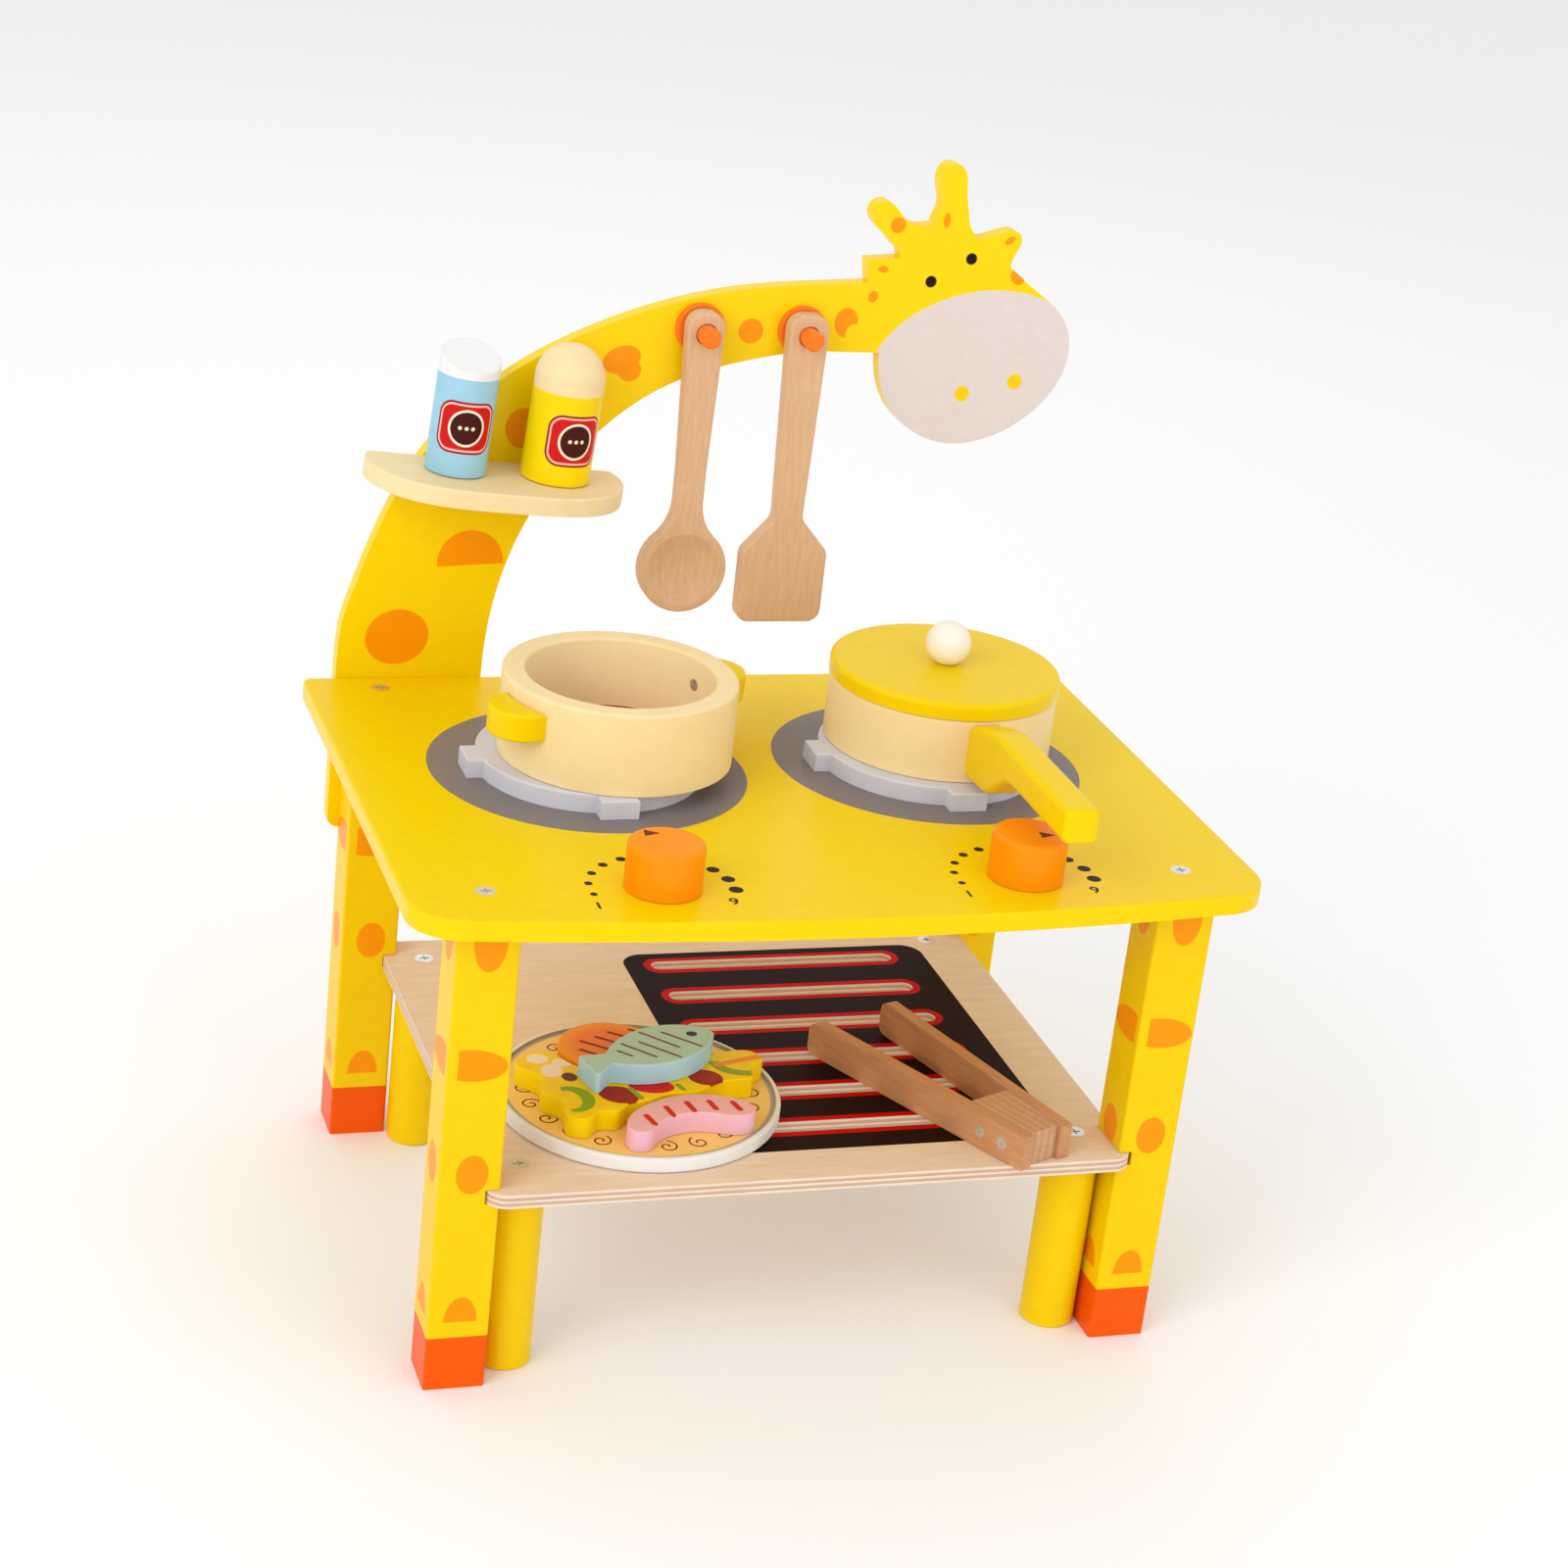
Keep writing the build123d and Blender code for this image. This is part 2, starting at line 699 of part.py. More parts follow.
# Lid: disc with a spigot below and a ball knob screwed on from underneath
lid_z = pan_floor_z + pan_height + rest_gap
with BuildPart() as lid_disc:
    with BuildSketch(Plane((pan_x, pan_y, lid_z))):
        Circle(lid_radius)
    extrude(amount=lid_thickness)
    fillet(edges().group_by(Axis.Z)[-1], lid_edge_radius)
    with Locations((pan_x, pan_y, lid_z + lid_thickness)):
        Hole(small_shank_radius + screw_clearance)
finish(lid_disc.part, "lid_disc")
spigot_low_z = lid_z - spigot_thickness
with BuildPart() as lid_spigot:
    with BuildSketch(Plane((pan_x, pan_y, spigot_low_z))):
        Circle(pot_bore - spigot_clearance)
    extrude(amount=spigot_thickness)
    with Locations(seat((pan_x, pan_y, spigot_low_z), (0, 0, -1))):
        countersink(spigot_thickness, small_head_radius, small_shank_radius)
finish(lid_spigot.part, "lid_spigot")
ball_z = lid_z + lid_thickness + ball_radius - ball_flat_depth
lid_screw_length = spigot_thickness + lid_thickness + ball_screw_bite
with BuildPart() as lid_ball:
    with BuildSketch(Plane((pan_x, pan_y, ball_z), x_dir=(1, 0, 0), z_dir=(0, -1, 0))):
        with BuildLine():
            Line((0, -ball_radius), (0, ball_radius))
            ThreePointArc((0, ball_radius), (ball_radius, 0), (0, -ball_radius))
        make_face()
    revolve(axis=Axis((pan_x, pan_y, ball_z), (0, 0, 1)))
    split(bisect_by=Plane((0, 0, lid_z + lid_thickness)), keep=Keep.TOP)
    with Locations(seat((pan_x, pan_y, lid_z + lid_thickness), (0, 0, -1))):
        Hole(small_shank_radius + screw_clearance, depth=ball_screw_bite + screw_hole_spare)
finish(lid_ball.part, "lid_ball")
lid_seats = [seat((pan_x, pan_y, spigot_low_z), (0, 0, -1))]
lid_screw = countersunk_screws(lid_seats, lid_screw_length, small_head_radius, small_shank_radius)
finish(lid_screw, "lid_screw")

# Spoon and spatula: flat beech tools with a hanging hole near the top
tool_back_y = rear_y - peg_base_thickness - tool_standoff
tool_hole_radius = peg_radius + hang_clearance


def tool_plane(x):
    """A plane through the peg's axis on the tool's back face, facing the front."""
    return Plane((x, tool_back_y, peg_z), x_dir=(1, 0, 0), z_dir=(0, -1, 0))


def both_sides(right_points):
    """A closed outline from the points of its right half."""
    left_points = [(-x, y) for x, y in reversed(right_points)]
    Polyline(right_points + left_points, close=True)


with BuildPart() as spoon:
    spoon_plane = tool_plane(peg_xs[0])
    with BuildSketch(spoon_plane):
        with BuildLine():
            both_sides(
                [
                    (spoon_top_width / 2, tool_head_rise),
                    (spoon_top_width / 2, 0),
                    (spoon_neck_width / 2, -spoon_neck_drop),
                    (spoon_neck_width / 2, -spoon_bowl_drop),
                ]
            )
        make_face()
        fillet(vertices().group_by(Axis.Y)[-1], tool_head_radius)
        with Locations((0, -spoon_bowl_drop)):
            Circle(spoon_bowl_radius)
        bowl_joint = vertices().filter_by_position(Axis.Y, -spoon_bowl_drop + 1, -spoon_neck_drop - 1)
        fillet(bowl_joint, spoon_shoulder_radius)
        Circle(tool_hole_radius, mode=Mode.SUBTRACT)
    extrude(amount=tool_thickness)
    fillet(faces().sort_by(Axis.Y)[0].outer_wire().edges(), tool_edge_radius)
    scoop_lift = tool_thickness + spoon_scoop_radius - spoon_scoop_depth
    with Locations(spoon_plane.offset(scoop_lift)):
        with Locations((0, -spoon_bowl_drop)):
            Sphere(spoon_scoop_radius, mode=Mode.SUBTRACT)
finish(spoon.part, "spoon")

with BuildPart() as spatula:
    with BuildSketch(tool_plane(peg_xs[1])):
        with BuildLine():
            both_sides(
                [
                    (spatula_top_width / 2, tool_head_rise),
                    (spatula_top_width / 2, 0),
                    (spatula_neck_width / 2, -spatula_neck_drop),
                    (spatula_blade_width / 2, -spatula_blade_drop),
                    (spatula_blade_width / 2, -spatula_length),
                ]
            )
        make_face()
        fillet(vertices().group_by(Axis.Y)[-1], tool_head_radius)
        fillet(vertices().group_by(Axis.Y)[0], spatula_corner_radius)
        fillet(vertices().filter_by_position(Axis.Y, -spatula_blade_drop - 1, -spatula_neck_drop + 1), spatula_shoulder_radius)
        Circle(tool_hole_radius, mode=Mode.SUBTRACT)
    extrude(amount=tool_thickness)
    fillet(faces().sort_by(Axis.Y)[0].outer_wire().edges(), tool_edge_radius)
finish(spatula.part, "spatula")

# Shakers: turned bodies that stand on the spice shelf, with glued caps
blue_plane = Plane(
    spice_plane.from_local_coords((*blue_place, rest_gap)), x_dir=spice_plane.x_dir, z_dir=spice_plane.z_dir
)
cap_tenon_radius = shaker_bore_radius - glue_gap
with BuildPart() as shaker_blue_body:
    with BuildSketch(blue_plane):
        Circle(blue_radius)
    extrude(amount=blue_body_height)
    fillet(edges().group_by(spice_plane.location.z_axis)[0], shaker_edge_radius)
    with BuildSketch(blue_plane.offset(blue_body_height)):
        Circle(shaker_bore_radius)
    extrude(amount=-cap_tenon_length - glue_gap, mode=Mode.SUBTRACT)
finish(shaker_blue_body.part, "shaker_blue_body")
cap_seat = blue_plane.offset(blue_body_height)
with BuildPart() as shaker_blue_cap:
    with BuildSketch(cap_seat):
        Circle(blue_radius)
    extrude(amount=blue_cap_high + blue_cap_low)
    cap_mid = cap_seat.from_local_coords((0, 0, (blue_cap_low + blue_cap_high) / 2))
    slope = (blue_cap_high - blue_cap_low) / (2 * blue_radius)
    cut_normal = cap_seat.z_dir - slope * cap_seat.y_dir
    split(bisect_by=Plane(cap_mid, z_dir=cut_normal), keep=Keep.BOTTOM)
    fillet(faces().sort_by(Axis.Z)[-1].edges(), shaker_edge_radius)
    with BuildSketch(cap_seat):
        Circle(cap_tenon_radius)
    extrude(amount=-cap_tenon_length)
finish(shaker_blue_cap.part, "shaker_blue_cap")

yellow_plane = Plane(
    spice_plane.from_local_coords((*yellow_place, rest_gap)), x_dir=spice_plane.x_dir, z_dir=spice_plane.z_dir
)
with BuildPart() as shaker_yellow_body:
    with BuildSketch(yellow_plane):
        Circle(yellow_radius)
    extrude(amount=yellow_body_height)
    fillet(edges().group_by(spice_plane.location.z_axis)[0], shaker_edge_radius)
    with BuildSketch(yellow_plane.offset(yellow_body_height)):
        Circle(shaker_bore_radius)
    extrude(amount=-cap_tenon_length - glue_gap, mode=Mode.SUBTRACT)
finish(shaker_yellow_body.part, "shaker_yellow_body")
dome_seat = yellow_plane.offset(yellow_body_height)
dome_plane = Plane(dome_seat.origin, x_dir=dome_seat.x_dir, z_dir=-dome_seat.y_dir)
with BuildPart() as shaker_yellow_cap:
    with BuildSketch(dome_plane):
        with BuildLine():
            Polyline(
                (0, yellow_cap_collar + yellow_radius),
                (0, -cap_tenon_length),
                (cap_tenon_radius, -cap_tenon_length),
                (cap_tenon_radius, 0),
                (yellow_radius, 0),
                (yellow_radius, yellow_cap_collar),
            )
            mid = yellow_radius * cos(radians(45))
            ThreePointArc(
                (yellow_radius, yellow_cap_collar),
                (mid, yellow_cap_collar + mid),
                (0, yellow_cap_collar + yellow_radius),
            )
        make_face()
    revolve(axis=Axis(dome_seat.origin, dome_seat.z_dir))
finish(shaker_yellow_cap.part, "shaker_yellow_cap")

# Plate: a thick disc with a shallow recess inside its rim
plate_x = plate_offset[0]
plate_y = front_y + plate_offset[1]
with BuildPart() as plate:
    with BuildSketch(Plane((plate_x, plate_y, plate_floor_z))):
        Circle(plate_radius)
    extrude(amount=plate_thickness)
    with BuildSketch(Plane((plate_x, plate_y, plate_floor_z + plate_thickness))):
        Circle(plate_radius - plate_rim_width)
    extrude(amount=-plate_recess, mode=Mode.SUBTRACT)
    fillet(faces().filter_by(Axis.Z).sort_by(Axis.Z)[-1].outer_wire().edges(), plate_edge_radius)
    fillet(edges().group_by(Axis.Z)[0], plate_edge_radius)
finish(plate.part, "plate")


def food_piece(outline_curves, floor_z):
    """A toy food piece cut from a board, with lightly rounded top edges."""
    with BuildPart() as piece:
        with BuildSketch(Plane((0, front_y, floor_z))):
            with BuildLine():
                for curve in outline_curves:
                    add(curve)
            make_face()
            if len(outline_curves) > 1:
                fillet(vertices(), food_corner_radius)
        extrude(amount=food_thickness)
        fillet(faces().sort_by(Axis.Z)[-1].edges(), food_edge_radius)
    return piece.part


# Omelette: a long piece with scalloped edges, across the middle of the plate
omelette_points = [
    (-102, 84),
    (-108, 71),
    (-101.5, 62),
    (-104, 51),
    (-97.5, 42),
    (-98, 30),
    (-90.5, 26.5),
    (-84.5, 32),
    (-77.5, 31.5),
    (-71, 37),
    (-62, 39),
    (-53, 43.5),
    (-43, 43.5),
    (-33, 48.5),
    (-22.5, 52.5),
    (-13.5, 54),
    (-12, 62),
    (-4.5, 69),
    (-7, 76),
    (-22, 77),
    (-41, 78),
    (-53.5, 65.5),
    (-66, 61),
    (-78.5, 65.5),
    (-89, 78),
]
finish(food_piece([Spline(omelette_points, periodic=True)], food_floor_z), "omelette")

# Steak: a round piece with grill lines, behind the omelette
with BuildPart() as steak:
    with BuildSketch(Plane((steak_offset[0], front_y + steak_offset[1], food_floor_z))):
        Circle(steak_radius)
    extrude(amount=food_thickness)
    fillet(edges().group_by(Axis.Z)[-1], food_edge_radius)
finish(steak.part, "steak")

# Sausage: a curved piece at the front of the plate
sausage_points = [
    (-76.5, 19.5),
    (-73.5, 27),
    (-65.5, 34.8),
    (-54.4, 40.3),
    (-45.6, 42.1),
    (-36.5, 41.2),
    (-27, 37.5),
    (-20.8, 31),
    (-21.5, 24.2),
    (-28, 22),
    (-41.8, 26.2),
    (-54.5, 25),
    (-63.6, 18.8),
    (-68.8, 13.2),
    (-74.3, 13.6),
]
finish(food_piece([Spline(sausage_points, periodic=True)], food_floor_z), "sausage")

# Fish: lies on top of the omelette and the steak
tail_top = (-75, 63)
tail_low = (-74, 54.6)
fin_top = (-87, 62.5)
fin_low = (-83, 44)
nose = (-24.5, 77)
fish_curves = [
    Spline(tail_top, (-62, 79), (-47, 85.5), (-33, 84.2), nose),
    Spline(nose, (-33, 62.5), (-52, 52), tail_low),
    Polyline(tail_low, fin_low, fin_top, tail_top),
]
finish(food_piece(fish_curves, food_floor_z + food_thickness + rest_gap), "fish")


# Tongs: two beech arms screwed to a wedge block at the heel
def arm_plane(heel, angle, height):
    """A plane at an arm's heel, with local X along the arm and local Y to its left."""
    return Plane(
        (heel[0], front_y + heel[1], height),
        x_dir=(cos(radians(angle)), sin(radians(angle)), 0),
        z_dir=(0, 0, 1),
    )


tongs_floor_z = shelf_top_z + rest_gap
left_arm = arm_plane(tongs_left_heel, tongs_left_angle, tongs_floor_z)
right_arm = arm_plane(tongs_right_heel, tongs_right_angle, tongs_floor_z)
tongs_arms = {"left": (left_arm, 1), "right": (right_arm, -1)}


def arm_face(plane, outward):
    """The plane of an arm's outer side, for its screws and its rounded tip."""
    return Plane(
        plane.from_local_coords((0, outward * tongs_arm_thickness, 0)),
        x_dir=plane.x_dir,
        z_dir=outward * plane.y_dir,
    )


screw_seats = {}
for hand, (plane, outward) in tongs_arms.items():
    outer = arm_face(plane, outward)
    lift = tongs_height / 2 if outer.y_dir.Z > 0 else -tongs_height / 2
    stations = [outer.from_local_coords((s, lift, 0)) for s in tongs_screw_stations]
    screw_seats[hand] = [seat(point, outer.z_dir) for point in stations]
    with BuildPart() as arm:
        with BuildSketch(outer):
            with Locations((tongs_arm_length / 2, lift)):
                Rectangle(tongs_arm_length, tongs_height)
            fillet(vertices().group_by(Axis.X)[-1], tongs_tip_radius)
        extrude(amount=-tongs_arm_thickness)
        with Locations(screw_seats[hand]):
            countersink(tongs_arm_thickness, small_head_radius, small_shank_radius)
    finish(arm.part, "tongs_arm_" + hand)
    screws = countersunk_screws(
        screw_seats[hand], tongs_screw_length, small_head_radius, small_shank_radius
    )
    finish(screws, "tongs_screws_" + hand)

with BuildPart() as tongs_block:
    with BuildSketch(Plane.XY.offset(tongs_floor_z)):
        block_far = tongs_block_start + tongs_block_length
        corners = [
            left_arm.from_local_coords((tongs_block_start, -rest_gap, 0)),
            left_arm.from_local_coords((block_far, -rest_gap, 0)),
            right_arm.from_local_coords((block_far, rest_gap, 0)),
            right_arm.from_local_coords((tongs_block_start, rest_gap, 0)),
        ]
        with BuildLine():
            Polyline([(c.X, c.Y) for c in corners], close=True)
        make_face()
    extrude(amount=tongs_height)
    for seats in screw_seats.values():
        with Locations(seats):
            Hole(small_shank_radius + tongs_hole_clearance, depth=tongs_screw_length + screw_hole_spare)
finish(tongs_block.part, "tongs_block")

overall_height = giraffe_board.part.bounding_box().max.Z
print("overall", top_width, overall_depth, round(overall_height, 1))
print("block width", round(hypot(corners[1].X - corners[2].X, corners[1].Y - corners[2].Y), 1))
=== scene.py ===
from math import cos, radians, sin

import bpy
from mathutils import Matrix, Vector


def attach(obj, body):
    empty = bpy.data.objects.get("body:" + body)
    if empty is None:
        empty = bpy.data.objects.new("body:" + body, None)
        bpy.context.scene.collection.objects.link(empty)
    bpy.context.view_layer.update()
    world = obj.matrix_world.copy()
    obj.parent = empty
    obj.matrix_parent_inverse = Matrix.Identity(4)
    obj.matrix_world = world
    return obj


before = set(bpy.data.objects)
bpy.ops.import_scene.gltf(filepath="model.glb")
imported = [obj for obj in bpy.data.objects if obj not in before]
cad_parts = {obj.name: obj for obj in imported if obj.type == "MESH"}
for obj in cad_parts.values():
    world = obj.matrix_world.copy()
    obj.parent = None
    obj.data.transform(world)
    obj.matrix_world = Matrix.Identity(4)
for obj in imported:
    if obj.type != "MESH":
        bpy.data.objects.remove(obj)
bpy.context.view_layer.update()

MM = 0.001


# Camera: stands where the photographer stood, left of the middle and looking down at the toy.
# Its place and turn come from the straight edges of the legs, the tabletop and the shelf.
def put_in_scene(name, data):
    """Make an object and link it to the scene."""
    item = bpy.data.objects.new(name, data)
    bpy.context.scene.collection.objects.link(item)
    return item


camera_place = Vector((-424.1, -1179.1, 725.7)) * MM
camera_yaw = radians(20.0)
camera_pitch = radians(22.25)
camera_roll = radians(6.7)
lens_data = bpy.data.cameras.new("camera")
lens_data.sensor_width = 36
lens_data.lens = 74.55
camera = put_in_scene("camera", lens_data)
forward = Vector(
    (sin(camera_yaw) * cos(camera_pitch), cos(camera_yaw) * cos(camera_pitch), -sin(camera_pitch))
)
level_right = Vector((cos(camera_yaw), -sin(camera_yaw), 0))
level_up = level_right.cross(forward)
right = level_right * cos(camera_roll) + level_up * sin(camera_roll)
up = level_up * cos(camera_roll) - level_right * sin(camera_roll)
camera_turn = Matrix((right, up, -forward)).transposed().to_4x4()
camera.matrix_world = Matrix.Translation(camera_place) @ camera_turn
bpy.context.scene.camera = camera

# Studio: a white sweep of paper and large soft lamps, so that the gloss paint shows only broad
# highlights. The paper is wide enough to fill the picture and is not attached to any piece.
bpy.context.scene.view_settings.view_transform = "Standard"
bpy.context.scene.view_settings.exposure = 0.0
studio = bpy.data.worlds.new("studio")
studio.use_nodes = True
white_room = studio.node_tree.nodes["Background"].inputs
white_room["Color"].default_value = (1.0, 1.0, 1.0, 1.0)
white_room["Strength"].default_value = 0.86
bpy.context.scene.world = studio
toy_middle = Vector((0, 0, 0.22))


def soft_lamp(name, place, width, power):
    """A square area lamp that points at the middle of the toy."""
    data = bpy.data.lights.new(name, "AREA")
    data.size = width
    data.energy = power
    lamp = put_in_scene(name, data)
    lamp.location = place
    lamp.rotation_euler = (toy_middle - Vector(place)).to_track_quat("-Z", "Y").to_euler()


soft_lamp("key", (-1.7, -1.2, 1.5), width=1.3, power=17)
soft_lamp("fill", (0.9, -2.0, 0.7), width=1.6, power=7)
soft_lamp("back", (0.3, 1.6, 1.8), width=1.4, power=4)

floor_reach = 12
floor_mesh = bpy.data.meshes.new("floor")
floor_corners = [(-floor_reach, -floor_reach, 0), (floor_reach, -floor_reach, 0)]
floor_corners += [(floor_reach, floor_reach, 0), (-floor_reach, floor_reach, 0)]
floor_mesh.from_pydata(floor_corners, [], [(0, 1, 2, 3)])
floor = put_in_scene("floor", floor_mesh)
floor_paper = bpy.data.materials.new("floor_paper")
floor_paper.use_nodes = True
paper_surface = floor_paper.node_tree.nodes["Principled BSDF"].inputs
paper_surface["Base Color"].default_value = (0.97, 0.97, 0.97, 1)
paper_surface["Roughness"].default_value = 0.9
floor_mesh.materials.append(floor_paper)


# Legs: four square beech posts in gloss yellow paint, with orange spots printed on each side and
# feet dipped in orange. A notch on the inner side holds the shelf's corner, and a screw comes
# from above.
class Field:
    """A value that changes over a surface. Sums and tests of fields become Math nodes."""

    def __init__(self, finish, socket):
        self.finish = finish
        self.socket = socket

    def maths(self, operation, *others):
        """Join this field with others in one Math node."""
        return self.finish.node("ShaderNodeMath", {"operation": operation}, (self, *others))

    def __add__(self, other):
        return self.maths("ADD", other)

    __radd__ = __add__

    def __sub__(self, other):
        return self.maths("SUBTRACT", other)

    def __rsub__(self, other):
        return self.finish.node("ShaderNodeMath", {"operation": "SUBTRACT"}, (other, self))

    def __mul__(self, other):
        return self.maths("MULTIPLY", other)

    __rmul__ = __mul__

    def __abs__(self):
        return self.maths("ABSOLUTE")

    def __or__(self, other):
        return self.maths("MAXIMUM", other)

    def __and__(self, other):
        return self.maths("MINIMUM", other)

    def distance(self, other):
        """How far a point is from a middle, where the two fields are its offsets."""
        return (self * self + other * other).maths("SQRT")

    def ramp(self, slope, start):
        """A straight rise or fall, kept between 0 and 1."""
        settings = {"operation": "MULTIPLY_ADD", "use_clamp": True}
        return self.finish.node("ShaderNodeMath", settings, (self, slope, start))

    def below(self, limit, soft=0.12):
        """1 where the field is under a limit, 0 over it, with a soft edge."""
        return self.ramp(-1 / soft, limit / soft + 0.5)

    def above(self, limit, soft=0.12):
        """1 where the field is over a limit, 0 under it, with a soft edge."""
        return self.ramp(1 / soft, -limit / soft + 0.5)


def tint(red, green, blue):
    """A colour as a screen shows it, 0 to 255, turned into the light values a shader takes."""
    return tuple(((part / 255 + 0.055) / 1.055) ** 2.4 for part in (red, green, blue)) + (1.0,)


class Finish:
    """A surface built of nodes from the piece's own coordinates, in millimetres."""

    bump_depth = 0.02
    noise_centre = (7, 3, 5)

    def __init__(self, name, colour, roughness=0.4, coat=0.0, metallic=0.0):
        self.material = bpy.data.materials.new(name)
        self.material.use_nodes = True
        self.tree = self.material.node_tree
        self.surface = self.tree.nodes["Principled BSDF"]
        self.surface.inputs["Metallic"].default_value = metallic
        self.surface.inputs["Coat Weight"].default_value = coat
        self.surface.inputs["Coat Roughness"].default_value = 0.12
        self.surface.inputs["Specular IOR Level"].default_value = 0.5 if metallic else 0.08
        metres = self.node("ShaderNodeTexCoord", output="Object")
        scaling = {"Vector": metres, "Scale": 1 / MM}
        self.place = self.node("ShaderNodeVectorMath", {"operation": "SCALE"}, scaling)
        self.x, self.y, self.z = self.split(self.place)
        self.colour = colour
        self.roughness = roughness
        self.height = None

    def node(self, kind, settings={}, inputs={}, output=0):
        """Add one node: its settings first, then the values or links of its sockets."""
        node = self.tree.nodes.new(kind)
        for name, value in settings.items():
            setattr(node, name, value)
        pairs = inputs.items() if isinstance(inputs, dict) else enumerate(inputs)
        for key, value in pairs:
            if isinstance(value, Field):
                self.tree.links.new(value.socket, node.inputs[key])
            else:
                node.inputs[key].default_value = value
        return Field(self, node.outputs[output])

    def split(self, vector):
        """The three numbers of a vector field."""
        first = self.node("ShaderNodeSeparateXYZ", {}, {"Vector": vector})
        return [Field(self, socket) for socket in first.socket.node.outputs]

    def local(self, centre, turn=(0, 0, 0), size=(1, 1, 1)):
        """The place as seen from a centre, undoing a turn and a size."""
        inputs = {"Vector": self.place, "Location": centre, "Rotation": turn, "Scale": size}
        return self.node("ShaderNodeMapping", {"vector_type": "TEXTURE"}, inputs)

    def blend(self, factor, under, over, way="MIX"):
        """One colour over another."""
        settings = {"data_type": "RGBA", "blend_type": way}
        return self.node("ShaderNodeMix", settings, {0: factor, 6: under, 7: over}, output=2)

    def cover(self, mask, colour):
        """Print a colour on the surface where the mask is 1."""
        self.colour = self.blend(mask, self.colour, colour)

    def noise(self, size, stretch=(1, 1, 1), detail=2.0, turn=(0, 0, 0)):
        """Cloudy noise from 0 to 1 with patches about size across, drawn out along an axis."""
        spread = tuple(size * part for part in stretch)
        inputs = {"Vector": self.local(self.noise_centre, turn, spread), "Detail": detail}
        return self.node("ShaderNodeTexNoise", {}, inputs)

    def spot(self, centre, half, turn=(0, 0, 0), soft=0.15):
        """A round or long spot: 1 inside an ellipsoid, 0 outside."""
        offset = {0: self.local(centre, turn, half)}
        length = self.node("ShaderNodeVectorMath", {"operation": "LENGTH"}, offset, "Value")
        return length.below(1.0, soft / min(half) * 2)

    def panel(self, across, along, half, corner):
        """Distance from the core of a panel with round corners, which is corner at its edge."""
        side = (abs(across) - (half[0] - corner)) | 0.0
        end = (abs(along) - (half[1] - corner)) | 0.0
        return side.distance(end)

    def stroke(self, start, end, width):
        """A printed line with round ends, seen from above."""
        run = Vector(end) - Vector(start)
        middle = (Vector(start) + Vector(end)) / 2
        turn = (0, 0, Vector((1, 0)).angle_signed(run) * -1)
        along, across = self.split(self.local((middle.x, middle.y, 0), turn))[:2]
        past = (abs(along) - (run.length - width) / 2) | 0.0
        squared = past * past + across * across
        return squared.below((width / 2) ** 2, 0.12 * width)

    def relief(self, field):
        """Raise or lower the surface by a field, for its bumps."""
        self.height = field if self.height is None else self.height + field

    def done(self):
        """Join the layers to the shader and give back the material."""
        if self.height is not None:
            bump = {"Strength": 1.0, "Distance": self.bump_depth * MM, "Height": self.height}
            normal = self.node("ShaderNodeBump", {}, bump)
            self.tree.links.new(normal.socket, self.surface.inputs["Normal"])
        for name, value in (("Base Color", self.colour), ("Roughness", self.roughness)):
            if isinstance(value, Field):
                self.tree.links.new(value.socket, self.surface.inputs[name])
            else:
                self.surface.inputs[name].default_value = value
        return self.material


def age_paint(finish, gloss=0.26, shade=tint(190, 150, 60)):
    """What sprayed paint on wood shows: cloudy depth, faint orange peel and uneven gloss."""
    thin_places = finish.noise(28) * 0.16
    finish.colour = finish.blend(thin_places, finish.colour, shade, way="MULTIPLY")
    finish.relief(finish.noise(3.2, detail=0.0))
    finish.roughness = gloss + 0.10 * finish.noise(11)


def dress(node, material):
    """Give a CAD piece its finish."""
    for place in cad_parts[node].material_slots:
        place.material = material


yellow = tint(246, 207, 0)
orange_spot = tint(250, 154, 0)
orange_foot = tint(244, 92, 0)
sides = {"left": -1, "right": 1}
leg_middle_x = 144
leg_middle_ys = {"front": -96.75, "rear": 112.25}
leg_half = (12.5, 12)
foot_height = 23.7
dome_bottom = 30.8
leaf_cut = -8.4
# Half the depth of a print: more than any piece has, so that the depth never shortens it.
through = 900
for row, leg_y in leg_middle_ys.items():
    for hand, side in sides.items():
        leg = Finish("leg_paint_" + row + "_" + hand, yellow, coat=0.06)
        from_x = leg.x - side * leg_middle_x
        from_y = leg.y - leg_y
        on_front = (abs(from_y) - abs(from_x)).above(leg_half[1] - leg_half[0])
        choice = {0: on_front, 2: from_y, 3: from_x}
        sideways = leg.node("ShaderNodeMix", {"data_type": "FLOAT"}, choice)
        leg.place = leg.node("ShaderNodeCombineXYZ", {}, {"X": sideways, "Y": 0.0, "Z": leg.z})
        upper = leg.spot((0.8, 0, 197), (6.6, through, 12.4))
        leaf = leg.spot((-2.8, 0, 145), (14.2, through, 6.8), (0, radians(5), 0))
        leaf = leaf & sideways.above(leaf_cut)
        oval = leg.spot((0.6, 0, 97.2), (6.5, through, 8.5))
        dome = leg.spot((0.4, 0, dome_bottom), (6.7, through, 11.3)) & leg.z.above(dome_bottom)
        leg.cover(upper | leaf | oval | dome, orange_spot)
        leg.cover(leg.z.below(foot_height), orange_foot)
        age_paint(leg)
        dress("leg_" + row + "_" + hand, leg.done())

# Posts: round beech dowels in the same yellow, which carry the shelf from the floor.
# A screw through the shelf ends in each one's top.
post = Finish("post_paint", yellow, coat=0.06)
age_paint(post)
post_paint = post.done()
for row in leg_middle_ys:
    for hand in sides:
        dress("post_" + row + "_" + hand, post_paint)

